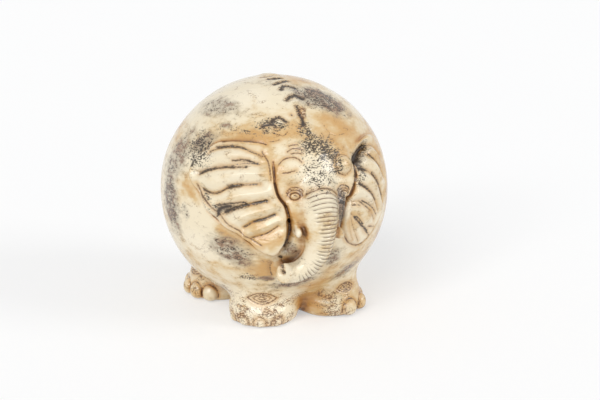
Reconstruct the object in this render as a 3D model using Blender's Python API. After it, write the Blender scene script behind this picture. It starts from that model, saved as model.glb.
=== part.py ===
"""Round elephant money box: a hollow glazed ball on four feet, with the animal modelled in relief.

The ball is two luted half shells, with a coin slot behind the crown and a stopper under the belly.
Every other clay piece sits on the ball or on the face pad, with a hairline of slip in between.
Sizes are in millimetres and become metres as each mesh is finished. The animal looks along -Y, and
its left side is at +X. Directions on the ball are a turn from the front and a lift from the equator.
"""

import math

import bmesh
import bpy
from mathutils import Matrix, Vector

MM = 0.001
SLIP = 0.3
WELD = 0.001

# Ball: skin, height of its lowest point, centre, and the flat under the belly.
BALL_RADIUS = 85.0
BALL_UNDERSIDE = 3.5
BALL_SET_BACK = 5.6
BALL_CENTRE = Vector((0.0, BALL_SET_BACK, BALL_RADIUS + BALL_UNDERSIDE))
BALL_SIDES = 44
BALL_RINGS = 10
HOLLOW_RINGS = 7
WALL = 6.0
BELLY_FLAT_HEIGHT = 7.0

# Coin slot, cut straight down behind the crown.
SLOT_LENGTH = 34.0
SLOT_WIDTH = 5.4
SLOT_FROM_BACK = 38.0
SLOT_BEHIND_AXIS = BALL_RADIUS - SLOT_FROM_BACK
SLOT_CUT_HIGH = BALL_RADIUS + WALL
SLOT_END_SIDES = 10

# Stopper and the hole that it plugs.
STOPPER_SIDES = 28
STOPPER_RADIUS = 14.6
STOPPER_PLAY = 0.4
STOPPER_HOLE_RADIUS = STOPPER_RADIUS + STOPPER_PLAY
STOPPER_NOSE_TAPER = 1.2
STOPPER_NOSE_RISE = 1.5
STOPPER_RISE = 10.0
STOPPER_WALL = 4.1
STOPPER_FLOOR = 2.0
STOPPER_LIP_OVERHANG = 3.9
STOPPER_LIP_RADIUS = STOPPER_RADIUS + STOPPER_LIP_OVERHANG
STOPPER_LIP = 2.4
STOPPER_LIP_CHAMFER = 0.6
PULL_TAB = Vector((15.0, 3.4, 3.6))
PULL_TAB_BURIED = 0.8
PULL_TAB_ROUNDING = 0.45
STOPPER_WAY_PLAY = 2.0
STOPPER_WAY_RADIUS = STOPPER_LIP_RADIUS + STOPPER_WAY_PLAY

# Face pad: middle, half sizes, corner rounding and rise over the ball. Angles are in degrees.
FACE_LIFT_ANGLE = 14.0
FACE_HALF_WIDTH = 21.4
FACE_HALF_HEIGHT = 33.0
FACE_CORNER_RATIO = 0.37
FACE_EDGE = 1.1
FACE_RISE = 2.6
FACE_GRID = (10, 14)
FACE_SIDE_ANGLE = math.degrees(math.asin(FACE_HALF_WIDTH / BALL_RADIUS))
FACE_REACH_ANGLE = math.degrees(math.atan(FACE_HALF_HEIGHT / BALL_RADIUS))
CHEEK_RISE = 2.4
CHEEK_SPREAD = 9.0
CHEEK_ACROSS = 15.5
CHEEK_DROP = 15.0

# Brow lobes and eyes: turn and lift, height over the ball, and half sizes across, up and out.
BROW_LIFT_ANGLE = FACE_LIFT_ANGLE + 0.613 * FACE_REACH_ANGLE
BROW_LOBE_STEP = 6.5
BROW_LOBE_STEP_ANGLE = math.degrees(BROW_LOBE_STEP / BALL_RADIUS)
BROW_ANGLES = (
    (0.85 * FACE_SIDE_ANGLE, BROW_LIFT_ANGLE),
    (0.823 * FACE_SIDE_ANGLE, BROW_LIFT_ANGLE - BROW_LOBE_STEP_ANGLE),
)
BROW_HEIGHT = 3.6
BROW_HALF = ((7.4, 4.2, 4.4), (6.4, 3.6, 3.6))
EYE_ANGLES = (0.837 * FACE_SIDE_ANGLE, FACE_LIFT_ANGLE - 0.066 * FACE_REACH_ANGLE)
EYE_HEIGHT = 2.8
EYE_HALF = (5.0, 3.8, 3.2)
PELLET_SIDES = 12
PELLET_RINGS = 7

# Tusks: turn and lift from root to tip on the left side, height over the ball, and their radii.
TUSK_ANGLES = (
    (0.727 * FACE_SIDE_ANGLE, FACE_LIFT_ANGLE - 0.73 * FACE_REACH_ANGLE),
    (0.741 * FACE_SIDE_ANGLE, FACE_LIFT_ANGLE - 0.801 * FACE_REACH_ANGLE),
    (0.754 * FACE_SIDE_ANGLE, FACE_LIFT_ANGLE - 0.867 * FACE_REACH_ANGLE),
    (0.761 * FACE_SIDE_ANGLE, FACE_LIFT_ANGLE - 0.924 * FACE_REACH_ANGLE),
)
TUSK_HEIGHTS = (-1.0, 4.0, 8.0, 10.6)
TUSK_RADII = (4.2, 4.0, 3.2, 1.7)
TUSK_SIDES = 10

# Trunk: turn and lift of its centre line, height over the ball, its radii, and the rings across it.
TRUNK_ANGLES = (
    (0.0, 19.0),
    (0.0, 14.5),
    (0.0, 9.0),
    (0.0, 2.5),
    (-0.2, -5.0),
    (-1.0, -12.4),
    (-4.1, -18.6),
    (-10.6, -22.5),
    (-17.4, -24.2),
)
TRUNK_HEIGHTS = (-6.5, -0.4, 2.6, 3.5, 4.5, 6.0, 7.5, 8.6, 9.4)
TRUNK_RADII = (9.6, 11.2, 12.2, 12.4, 11.2, 9.3, 8.2, 7.4, 6.9)
TRUNK_WRINKLES = 22
TRUNK_WRINKLE_DEPTH = 0.6
TRUNK_SIDES = 14
NOSTRIL_RADIUS = 1.4
NOSTRIL_DEPTH = 4.0
NOSTRIL_SPREAD = 2.8
NOSTRIL_SIDES = 8

# Left ear: turn past the side of the face and lift of the front and outer ends of the lines between
# its ribs, from the top down, and the upward bow of those lines.
EAR_FRONT_ANGLES = (
    (10.9, 36.0),
    (8.0, 31.4),
    (7.0, 26.4),
    (6.4, 18.5),
    (3.8, 11.6),
    (1.0, 6.0),
    (0.5, -1.0),
    (2.8, -13.4),
)
EAR_OUTER_ANGLES = (
    (39.4, 35.5),
    (46.9, 29.0),
    (50.9, 17.5),
    (42.9, 8.0),
    (35.1, 0.6),
    (27.4, -5.4),
    (19.8, -10.2),
    (7.0, -16.8),
)
EAR_BOW_ANGLES = (1.2, 3.0, 4.0, 4.0, 2.2, 0.8, 0.4, 0.0)
EAR_RIBS = len(EAR_FRONT_ANGLES) - 1
EAR_ROWS_PER_RIB = 4
EAR_COLUMNS = 8
EAR_EDGE = 2.4
EAR_RISE = 4.2
EAR_RIB_RISE = 1.7

# Ridge along the spine: its ends and notches as lifts carried on over the crown, from above the face.
RIDGE_START_ANGLE = FACE_LIFT_ANGLE + FACE_REACH_ANGLE + 1.0
RIDGE_ANGLES = (RIDGE_START_ANGLE, 42.6, 52.0, 61.5, 69.5, 76.5, 83.5, 90.5, 97.5, 104.0)
RIDGE_ROWS_PER_KNOB = 3
RIDGE_COLUMNS = 6
RIDGE_HALF_WIDTH = 7.2
RIDGE_EDGE = 0.5
RIDGE_RISE = 1.9
RIDGE_NOTCH_DEPTH = 0.9

# Feet: centre of each sole from the ball's axis, the heading of its toes, and the turned outline.
FEET = (
    ("foot_front_left", (29.5, -31.5), 40.0),
    ("foot_front_right", (-21.5, -32.5), -22.0),
    ("foot_rear_left", (34.0, 31.0), 86.0),
    ("foot_rear_right", (-34.0, 31.0), -86.0),
)
FOOT_OUTLINE = (
    (0.0, 0.0),
    (21.6, 0.0),
    (23.8, 1.6),
    (25.0, 5.6),
    (25.0, 11.0),
    (24.0, 16.5),
    (22.8, 24.0),
    (21.8, 34.0),
    (0.0, 34.0),
)
FOOT_SIDES = 24
TOE_SPREAD_ANGLE = 27.0
TOE_COUNT = 4
TOE_REACH = 22.4
TOE_HEIGHT = 6.0
TOE_HALF = (4.6, 5.2, 4.4)

# Tail, hanging down the back to a tuft.
TAIL_ANGLES = ((180.0, 8.0), (180.0, 3.0), (180.0, -8.0), (178.0, -18.0), (176.0, -24.0))
TAIL_HEIGHTS = (-1.0, 1.4, 1.0, 1.2, 1.8)
TAIL_RADII = (3.6, 3.2, 2.6, 4.2, 2.2)
TAIL_SIDES = 10
TAIL_STEPS = 9

GLAZE_COLOUR = (0.76, 0.60, 0.40, 1.0)
STAIN_COLOUR = (0.20, 0.13, 0.09, 1.0)
RUBBER_COLOUR = (0.05, 0.05, 0.05, 1.0)


def new_material(name: str, colour: tuple, roughness: float) -> bpy.types.Material:
    """Plain shaded material for one kind of surface."""
    material = bpy.data.materials.new(name)
    material.use_nodes = True
    shader = material.node_tree.nodes["Principled BSDF"]
    shader.inputs["Base Color"].default_value = colour
    shader.inputs["Roughness"].default_value = roughness
    return material


def on_ball(turn: float, lift: float, height: float) -> Vector:
    """Point at a turn towards +X and a lift above the equator, in degrees, and a height over the ball."""
    across = math.radians(turn)
    up = math.radians(lift)
    direction = Vector((math.cos(up) * math.sin(across), -math.cos(up) * math.cos(across), math.sin(up)))
    return BALL_CENTRE + direction * (BALL_RADIUS + height)


def stand_on_ball(turn: float, lift: float, height: float) -> Matrix:
    """Frame at a place over the ball with X across, Y up along the skin and Z outwards."""
    origin = on_ball(turn, lift, height)
    outward = (origin - BALL_CENTRE).normalized()
    across = Vector((0.0, 0.0, 1.0)).cross(outward).normalized()
    up = outward.cross(across)
    rotation = Matrix((across, up, outward)).transposed()
    return Matrix.Translation(origin) @ rotation.to_4x4()


def glide(points: tuple, where: float) -> tuple:
    """Place on a smooth curve through equally spaced points, with where running from 0 to 1."""
    last = len(points) - 1
    scaled = min(max(where, 0.0), 1.0) * last
    span = min(int(scaled), last - 1)
    f = scaled - span
    before = points[max(span - 1, 0)]
    start = points[span]
    end = points[span + 1]
    after = points[min(span + 2, last)]
    return tuple(
        b + 0.5 * f * (c - a + f * (2.0 * a - 5.0 * b + 4.0 * c - d + f * (3.0 * (b - c) + d - a)))
        for a, b, c, d in zip(before, start, end, after)
    )


def finish(name: str, bm: bmesh.types.BMesh, material: bpy.types.Material, origin: Vector = Vector()):
    """Make a named object in metres, with its origin at the given point in millimetres."""
    bmesh.ops.recalc_face_normals(bm, faces=bm.faces)
    bmesh.ops.translate(bm, vec=-origin, verts=bm.verts)
    bmesh.ops.scale(bm, vec=Vector((MM, MM, MM)), verts=bm.verts)
    mesh = bpy.data.meshes.new(name)
    bm.to_mesh(mesh)
    bm.free()
    mesh.materials.append(material)
    obj = bpy.data.objects.new(name, mesh)
    obj.location = origin * MM
    bpy.context.scene.collection.objects.link(obj)
    return obj


def as_cutter(obj):
    """Keep an object out of the finished work, as a shape for Booleans only."""
    obj.hide_render = True
    obj.display_type = "WIRE"
    return obj


def carve(obj, tool, operation: str = "DIFFERENCE") -> None:
    """Add an exact Boolean with another object."""
    modifier = obj.modifiers.new(tool.name, "BOOLEAN")
    modifier.operation = operation
    modifier.solver = "EXACT"
    modifier.object = tool


def turned(outline, sides: int, centre: Vector) -> bmesh.types.BMesh:
    """Revolve a closed outline of (radius, height) about a vertical axis through a point."""
    bm = bmesh.new()
    verts = [bm.verts.new((radius, 0.0, height)) for radius, height in outline]
    pairs = zip(verts, verts[1:] + verts[:1])
    edges = [bm.edges.new(pair) for pair in pairs if max(vert.co.x for vert in pair) > WELD]
    bmesh.ops.spin(
        bm,
        geom=verts + edges,
        axis=(0.0, 0.0, 1.0),
        cent=(0.0, 0.0, 0.0),
        angle=math.tau,
        steps=sides,
        use_merge=True,
    )
    bmesh.ops.remove_doubles(bm, verts=bm.verts, dist=WELD)
    bmesh.ops.translate(bm, vec=centre, verts=bm.verts)
    return bm


def arc(radius: float, start: float, end: float, steps: int) -> list:
    """Points of (radius, height) along a circle about the ball's centre, between two lifts in degrees."""
    points = []
    for step in range(steps + 1):
        lift = math.radians(start + (end - start) * step / steps)
        points.append((radius * math.cos(lift), radius * math.sin(lift)))
    return points


def pad(columns: int, rows: int, place, seat: float) -> bmesh.types.BMesh:
    """Sheet laid over the ball by place(s, t), thickened inwards down to a sphere of radius seat."""
    bm = bmesh.new()
    bmesh.ops.create_grid(bm, x_segments=columns, y_segments=rows, size=0.5)
    for vert in bm.verts:
        vert.co = place(vert.co.x + 0.5, vert.co.y + 0.5)
    grown = bmesh.ops.extrude_face_region(bm, geom=bm.faces[:])
    for item in grown["geom"]:
        if isinstance(item, bmesh.types.BMVert):
            item.co = BALL_CENTRE + (item.co - BALL_CENTRE).normalized() * seat
    return bm


def tube(centres: list, radii: list, sides: int) -> bmesh.types.BMesh:
    """Round tube along a line of points, closed by flat ends."""
    bm = bmesh.new()
    rings = []
    side = Vector((1.0, 0.0, 0.0))
    for index, centre in enumerate(centres):
        ahead = centres[min(index + 1, len(centres) - 1)]
        behind = centres[max(index - 1, 0)]
        along = (ahead - behind).normalized()
        side = (side - along * side.dot(along)).normalized()
        up = along.cross(side)
        ring = []
        for corner in range(sides):
            angle = math.tau * corner / sides
            offset = (side * math.cos(angle) + up * math.sin(angle)) * radii[index]
            ring.append(bm.verts.new(centre + offset))
        rings.append(ring)
    for low, high in zip(rings, rings[1:]):
        for corner in range(sides):
            after = (corner + 1) % sides
            bm.faces.new((low[corner], low[after], high[after], high[corner]))
    bm.faces.new(rings[0])
    bm.faces.new(rings[-1])
    return bm


def pellet(frame: Matrix, half: tuple) -> bmesh.types.BMesh:
    """Rounded lump of clay with three half sizes in a given frame."""
    bm = bmesh.new()
    bmesh.ops.create_uvsphere(bm, u_segments=PELLET_SIDES, v_segments=PELLET_RINGS, radius=1.0)
    bmesh.ops.transform(bm, matrix=frame @ Matrix.Diagonal((*half, 1.0)), verts=bm.verts)
    return bm


def make_seat(material):
    """Ball that trims whatever is luted to the shell, one hairline larger than the shell."""
    outline = arc(BALL_RADIUS + SLIP, -90.0, 90.0, 2 * BALL_RINGS)
    return as_cutter(finish("ball_seat", turned(outline, BALL_SIDES, BALL_CENTRE), material))


def make_shells(material) -> None:
    """Upper and lower half shells, with the coin slot and the stopper hole."""
    inner = BALL_RADIUS - WALL
    seam = math.degrees(math.asin(0.5 * SLIP / BALL_RADIUS))
    inner_seam = math.degrees(math.asin(0.5 * SLIP / inner))

    upper = arc(BALL_RADIUS, seam, 90.0, BALL_RINGS) + arc(inner, 90.0, inner_seam, HOLLOW_RINGS)
    shell = finish("shell_upper", turned(upper, BALL_SIDES, BALL_CENTRE), material)

    cutter = bmesh.new()
    ring = []
    straight = 0.5 * (SLOT_LENGTH - SLOT_WIDTH)
    for end in (1.0, -1.0):
        for step in range(SLOT_END_SIDES + 1):
            angle = math.pi * step / SLOT_END_SIDES
            across = end * math.cos(angle) * 0.5 * SLOT_WIDTH
            along = end * (straight + math.sin(angle) * 0.5 * SLOT_WIDTH)
            ring.append(cutter.verts.new((across, SLOT_BEHIND_AXIS + along, 0.0)))
    grown = bmesh.ops.extrude_face_region(cutter, geom=[cutter.faces.new(ring)])
    lifted = [item for item in grown["geom"] if isinstance(item, bmesh.types.BMVert)]
    bmesh.ops.translate(cutter, vec=(0.0, 0.0, SLOT_CUT_HIGH), verts=lifted)
    bmesh.ops.translate(cutter, vec=BALL_CENTRE, verts=cutter.verts)
    carve(shell, as_cutter(finish("coin_slot", cutter, material)))

    drop = BALL_CENTRE.z - BELLY_FLAT_HEIGHT
    belly = -math.degrees(math.asin(drop / BALL_RADIUS))
    inner_belly = -math.degrees(math.asin((drop - WALL) / inner))
    lower = arc(BALL_RADIUS, -seam, belly, BALL_RINGS - 1)
    lower += [(STOPPER_HOLE_RADIUS, -drop), (STOPPER_HOLE_RADIUS, WALL - drop)]
    lower += arc(inner, inner_belly, -inner_seam, HOLLOW_RINGS)
    finish("shell_lower", turned(lower, BALL_SIDES, BALL_CENTRE), material)


def make_stopper(material) -> None:
    """Rubber plug with a lip under the belly, hollow on top, and a tab to pull it by."""
    top = STOPPER_RISE
    outline = (
        (0.0, -SLIP - STOPPER_LIP),
        (STOPPER_LIP_RADIUS - STOPPER_LIP_CHAMFER, -SLIP - STOPPER_LIP),
        (STOPPER_LIP_RADIUS, -SLIP - STOPPER_LIP + STOPPER_LIP_CHAMFER),
        (STOPPER_LIP_RADIUS, -SLIP),
        (STOPPER_RADIUS, -SLIP),
        (STOPPER_RADIUS, top - STOPPER_NOSE_RISE),
        (STOPPER_RADIUS - STOPPER_NOSE_TAPER, top),
        (STOPPER_RADIUS - STOPPER_WALL, top),
        (STOPPER_RADIUS - STOPPER_WALL, STOPPER_FLOOR),
        (0.0, STOPPER_FLOOR),
    )
    origin = Vector((BALL_CENTRE.x, BALL_CENTRE.y, BELLY_FLAT_HEIGHT))
    plug = finish("stopper", turned(outline, STOPPER_SIDES, origin), material, origin)

    tab = bmesh.new()
    bmesh.ops.create_cube(tab, size=1.0)
    bmesh.ops.scale(tab, vec=PULL_TAB, verts=tab.verts)
    upright = [edge for edge in tab.edges if abs(edge.verts[0].co.z - edge.verts[1].co.z) > WELD]
    rounding = PULL_TAB_ROUNDING * PULL_TAB.y
    bmesh.ops.bevel(tab, geom=upright, offset=rounding, segments=3, affect="EDGES", profile=0.5)
    below = STOPPER_LIP + SLIP - PULL_TAB_BURIED + 0.5 * PULL_TAB.z
    bmesh.ops.translate(tab, vec=origin - Vector((0.0, 0.0, below)), verts=tab.verts)
    carve(plug, as_cutter(finish("pull_tab", tab, material)), "UNION")


def make_stopper_way(material):
    """Upright cylinder that keeps the feet clear of the stopper as it is drawn down."""
    low = -WALL
    high = BALL_RADIUS
    outline = [(0.0, low), (STOPPER_WAY_RADIUS, low), (STOPPER_WAY_RADIUS, high), (0.0, high)]
    axis = Vector((BALL_CENTRE.x, BALL_CENTRE.y, 0.0))
    return as_cutter(finish("stopper_way", turned(outline, STOPPER_SIDES, axis), material))


def face_spot(s: float, t: float, extra: float) -> Vector:
    """Place on the face pad, with s across and t up from 0 to 1, raised by an extra height."""
    a = 2.0 * s - 1.0
    b = 2.0 * t - 1.0
    across = a * FACE_HALF_WIDTH * math.sqrt(1.0 - FACE_CORNER_RATIO * b * b)
    up = b * FACE_HALF_HEIGHT * math.sqrt(1.0 - FACE_CORNER_RATIO * a * a)
    rise = FACE_EDGE + FACE_RISE * (1.0 - a**4) * (1.0 - b**4)
    near = (abs(across) - CHEEK_ACROSS) ** 2 + (up + CHEEK_DROP) ** 2
    rise += CHEEK_RISE * math.exp(-near / CHEEK_SPREAD**2)
    frame = stand_on_ball(0.0, FACE_LIFT_ANGLE, 0.0)
    reach = frame @ Vector((across, up, 0.0)) - BALL_CENTRE
    return BALL_CENTRE + reach.normalized() * (BALL_RADIUS + rise + extra)


def make_face(material):
    """Pad of clay for forehead and cheeks; returns the shape that trims what is luted to it."""
    columns, rows = FACE_GRID
    pad_mesh = pad(columns, rows, lambda s, t: face_spot(s, t, 0.0), BALL_RADIUS + SLIP)
    finish("face", pad_mesh, material)
    trim = pad(columns, rows, lambda s, t: face_spot(s, t, SLIP), BALL_RADIUS - WALL)
    return as_cutter(finish("face_seat", trim, material))


def make_ear(name: str, hand: float, material) -> None:
    """Ribbed ear, on the left for hand +1 and on the right for hand -1."""

    def place(s: float, t: float) -> Vector:
        spread = 0.5 - 0.5 * math.cos(math.pi * s)
        front = glide(EAR_FRONT_ANGLES, t)
        outer = glide(EAR_OUTER_ANGLES, t)
        (bow,) = glide(tuple((value,) for value in EAR_BOW_ANGLES), t)
        turn = FACE_SIDE_ANGLE + front[0] + (outer[0] - front[0]) * spread
        lift = front[1] + (outer[1] - front[1]) * spread + bow * 4.0 * spread * (1.0 - spread)
        edge = max(abs(2.0 * spread - 1.0), abs(2.0 * t - 1.0)) ** 8
        phase = 2.0 * (t * EAR_RIBS - math.floor(t * EAR_RIBS + 0.001)) - 1.0
        rib = math.sqrt(max(0.0, 1.0 - phase * phase))
        rise = EAR_EDGE + (1.0 - edge) * (EAR_RISE - EAR_EDGE + EAR_RIB_RISE * rib)
        return on_ball(hand * turn, lift, rise)

    finish(name, pad(EAR_COLUMNS, EAR_RIBS * EAR_ROWS_PER_RIB, place, BALL_RADIUS + SLIP), material)


def make_ridge(material) -> None:
    """Knobbed ridge from the forehead over the crown, ending in front of the coin slot."""
    knobs = len(RIDGE_ANGLES) - 1

    def place(s: float, t: float) -> Vector:
        lift = math.radians(glide(tuple((value,) for value in RIDGE_ANGLES), t)[0])
        along = Vector((0.0, -math.cos(lift), math.sin(lift)))
        side = 2.0 * s - 1.0
        phase = 2.0 * (t * knobs - math.floor(t * knobs + 0.001)) - 1.0
        rise = RIDGE_RISE - RIDGE_NOTCH_DEPTH * phase * phase
        rise = RIDGE_EDGE + rise * (1.0 - side * side)
        reach = along * BALL_RADIUS + Vector((side * RIDGE_HALF_WIDTH, 0.0, 0.0))
        return BALL_CENTRE + reach.normalized() * (BALL_RADIUS + SLIP + rise)

    finish("ridge", pad(RIDGE_COLUMNS, knobs * RIDGE_ROWS_PER_KNOB, place, BALL_RADIUS + SLIP), material)


def make_brow(name: str, hand: float, seats: tuple, material) -> None:
    """Heavy brow of two merged lobes."""
    upper, lower = (
        pellet(stand_on_ball(hand * turn, lift, BROW_HEIGHT), half)
        for (turn, lift), half in zip(BROW_ANGLES, BROW_HALF)
    )
    brow = finish(name, upper, material)
    carve(brow, as_cutter(finish(name + "_lobe", lower, material)), "UNION")
    for seat in seats:
        carve(brow, seat)


def make_eye(name: str, hand: float, seats: tuple, material) -> None:
    """Almond pellet for an eye."""
    turn, lift = EYE_ANGLES
    eye = finish(name, pellet(stand_on_ball(hand * turn, lift, EYE_HEIGHT), EYE_HALF), material)
    for seat in seats:
        carve(eye, seat)


def make_tusk(name: str, hand: float, seats: tuple, material) -> None:
    """Short blunt tusk rooted in the cheek."""
    places = zip(TUSK_ANGLES, TUSK_HEIGHTS)
    centres = [on_ball(hand * turn, lift, height) for (turn, lift), height in places]
    tusk = finish(name, tube(centres, list(TUSK_RADII), TUSK_SIDES), material)
    for seat in seats:
        carve(tusk, seat)


def make_trunk(seats: tuple, material) -> None:
    """Wrinkled trunk that hangs over the chest and curls to the right, with two nostrils."""
    steps = 2 * TRUNK_WRINKLES
    centres = []
    radii = []
    for step in range(steps + 1):
        where = step / steps
        height, radius = glide(tuple(zip(TRUNK_HEIGHTS, TRUNK_RADII)), where)
        centres.append(on_ball(*glide(TRUNK_ANGLES, where), height))
        radii.append(radius - TRUNK_WRINKLE_DEPTH * (step % 2))
    trunk = finish("trunk", tube(centres, radii, TRUNK_SIDES), material)
    for seat in seats:
        carve(trunk, seat)

    tip = centres[-1]
    along = (tip - centres[-2]).normalized()
    outward = (tip - BALL_CENTRE).normalized()
    across = along.cross(outward).normalized()
    for name, hand in (("nostril_high", 1.0), ("nostril_low", -1.0)):
        mouth = tip + across * NOSTRIL_SPREAD * hand
        line = [mouth - along * NOSTRIL_DEPTH, mouth + along * NOSTRIL_DEPTH]
        hole = tube(line, [NOSTRIL_RADIUS, NOSTRIL_RADIUS], NOSTRIL_SIDES)
        carve(trunk, as_cutter(finish(name, hole, material)))


def make_foot(name: str, spot: tuple, heading: float, seats: tuple, material) -> None:
    """Stump with a flat sole and a row of toes, trimmed to the ball and clear of the stopper's way."""
    sole = Vector((BALL_CENTRE.x + spot[0], BALL_CENTRE.y + spot[1], 0.0))
    foot = finish(name, turned(FOOT_OUTLINE, FOOT_SIDES, sole), material)
    for toe in range(TOE_COUNT):
        angle = math.radians(heading + TOE_SPREAD_ANGLE * (toe - 0.5 * (TOE_COUNT - 1)))
        place = sole + Vector((math.sin(angle), -math.cos(angle), 0.0)) * TOE_REACH
        frame = Matrix.Translation(place + Vector((0.0, 0.0, TOE_HEIGHT))) @ Matrix.Rotation(angle, 4, "Z")
        nail = finish(f"{name}_toe_{toe}", pellet(frame, TOE_HALF), material)
        carve(foot, as_cutter(nail), "UNION")
    for seat in seats:
        carve(foot, seat)


def make_tail(seat, material) -> None:
    """Thin tail lying on the back of the ball, with a tuft."""
    centres = []
    radii = []
    for step in range(TAIL_STEPS + 1):
        where = step / TAIL_STEPS
        height, radius = glide(tuple(zip(TAIL_HEIGHTS, TAIL_RADII)), where)
        centres.append(on_ball(*glide(TAIL_ANGLES, where), height))
        radii.append(radius)
    carve(finish("tail", tube(centres, radii, TAIL_SIDES), material), seat)


def main() -> None:
    """Build every piece of the money box."""
    for obj in list(bpy.data.objects):
        bpy.data.objects.remove(obj, do_unlink=True)
    glaze = new_material("glazed_earthenware", GLAZE_COLOUR, 0.25)
    stain = new_material("stained_glaze", STAIN_COLOUR, 0.3)
    rubber = new_material("stopper_rubber", RUBBER_COLOUR, 0.6)

    ball_seat = make_seat(glaze)
    make_shells(glaze)
    make_stopper(rubber)
    face_seat = make_face(glaze)
    stopper_way = make_stopper_way(rubber)

    head_seats = (face_seat, ball_seat)
    for side, hand in (("left", 1.0), ("right", -1.0)):
        make_ear("ear_" + side, hand, glaze)
        make_brow("brow_" + side, hand, head_seats, glaze)
        make_eye("eye_" + side, hand, head_seats, stain)
        make_tusk("tusk_" + side, hand, head_seats, glaze)
    make_trunk(head_seats, glaze)
    make_ridge(glaze)
    for name, spot, heading in FEET:
        make_foot(name, spot, heading, (ball_seat, stopper_way), glaze)
    make_tail(ball_seat, glaze)


main()
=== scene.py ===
"""Glazed look of the round elephant money box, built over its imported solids.

The clay is shaped as one continuous field of distances, the way a potter joins lumps with wet slip, and
is then cut into the named pieces of the solids. Lengths in the field are millimetres from the middle of
the ball. The animal looks along -Y, its left side is at +X, and a place on the ball is a turn from the
front and a lift from the equator, both in degrees.
"""

import logging
import math
from dataclasses import dataclass, field
from enum import Enum
from functools import partial
from typing import Optional, Sequence

import bpy
import numpy as np
from mathutils import Matrix


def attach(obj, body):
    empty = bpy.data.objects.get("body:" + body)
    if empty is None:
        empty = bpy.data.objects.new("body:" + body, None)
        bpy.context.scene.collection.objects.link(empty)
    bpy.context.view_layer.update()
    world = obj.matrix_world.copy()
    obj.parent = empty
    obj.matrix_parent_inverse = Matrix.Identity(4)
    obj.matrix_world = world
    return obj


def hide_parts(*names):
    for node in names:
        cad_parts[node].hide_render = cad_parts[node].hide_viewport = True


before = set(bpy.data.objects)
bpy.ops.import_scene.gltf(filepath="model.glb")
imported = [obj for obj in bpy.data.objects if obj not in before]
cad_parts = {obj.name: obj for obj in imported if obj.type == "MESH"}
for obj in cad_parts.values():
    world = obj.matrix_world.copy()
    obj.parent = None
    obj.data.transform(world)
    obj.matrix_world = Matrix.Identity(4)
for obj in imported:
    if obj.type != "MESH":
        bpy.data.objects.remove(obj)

Array = np.ndarray
Pair = tuple[float, float]
Triple = tuple[float, float, float]
Path = tuple[Pair, ...]
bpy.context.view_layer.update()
LOG = logging.getLogger("money_box")
MM = 0.001
BALL_RADIUS = 85.0
BALL_CENTRE = np.array((0.0, 5.6, 88.5))
FLOOR_LEVEL = -BALL_CENTRE[2]
BELLY_FLAT = -81.5
FACE_LIFT = 8.0
FINE_CELL = 0.9
FAR = 1.0e3
TINY = 1.0e-9
BATCH = 200000


class Body(str, Enum):
    """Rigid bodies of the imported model."""

    BANK = "bank"
    STOPPER = "stopper"


class Slot(str, Enum):
    """Material slots of the record."""

    GLAZE = "glaze"
    STAINED = "stained_glaze"
    RUBBER = "rubber"


class Hand(Enum):
    """Side of the animal, as the sign of X."""

    LEFT = 1.0
    RIGHT = -1.0

    def named(self, stem: str) -> str:
        """Name of a piece on this side."""
        return f"{stem}_{self.name.lower()}"


def linear(code: str) -> tuple[float, float, float, float]:
    """Turn an sRGB hex colour into linear light.

    Args:
        code: Six hex digits after a hash sign.

    Returns:
        Red, green, blue and an alpha of 1.
    """
    parts = [int(code[start : start + 2], 16) / 255.0 for start in (1, 3, 5)]
    light = [part / 12.92 if part <= 0.04045 else ((part + 0.055) / 1.055) ** 2.4 for part in parts]
    return (light[0], light[1], light[2], 1.0)


def add_node(
    tree: bpy.types.NodeTree,
    kind: str,
    settings: Optional[dict] = None,
    inputs: Optional[dict] = None,
) -> bpy.types.Node:
    """Add a shader node with its settings and its inputs.

    Args:
        tree: Node tree that gets the node.
        kind: Name of the node's type, without the ShaderNode that Blender puts before it.
        settings: Attributes to set on the node.
        inputs: Value or output socket for each input, by name or by number.

    Returns:
        The new node.
    """
    node = tree.nodes.new("ShaderNode" + kind)
    for key, value in (settings or {}).items():
        setattr(node, key, value)
    for key, value in (inputs or {}).items():
        if isinstance(value, bpy.types.NodeSocket):
            tree.links.new(value, node.inputs[key])
        else:
            node.inputs[key].default_value = value
    return node


def bare_material(name: str) -> bpy.types.Material:
    """Make a material without nodes.

    Args:
        name: Name of the material.

    Returns:
        The material, with an empty node tree.
    """
    material = bpy.data.materials.new(name)
    material.use_nodes = True
    material.node_tree.nodes.clear()
    return material


def direction(turn: float, lift: float) -> Array:
    """Unit vector at a turn and a lift in degrees."""
    across, up = math.radians(turn), math.radians(lift)
    return np.array((math.cos(up) * math.sin(across), -math.cos(up) * math.cos(across), math.sin(up)))


def on_head(angles: Sequence[Sequence[float]], hand: Hand, sag: float = 0.0) -> Array:
    """Unit vectors of places on one side of the head.

    Args:
        angles: Turn and lift of each place on the left side, in degrees.
        hand: Side of the animal; the right side is mirrored.
        sag: Angle by which that side hangs lower about the middle of the face, in degrees.

    Returns:
        One unit vector in each row.
    """
    rows = np.array([direction(hand.value * turn, lift) for turn, lift in angles])
    axis = direction(0.0, FACE_LIFT)
    swing = -hand.value * math.radians(sag)
    along = np.outer(rows @ axis, axis)
    return along + (rows - along) * math.cos(swing) + np.cross(axis, rows) * math.sin(swing)


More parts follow.
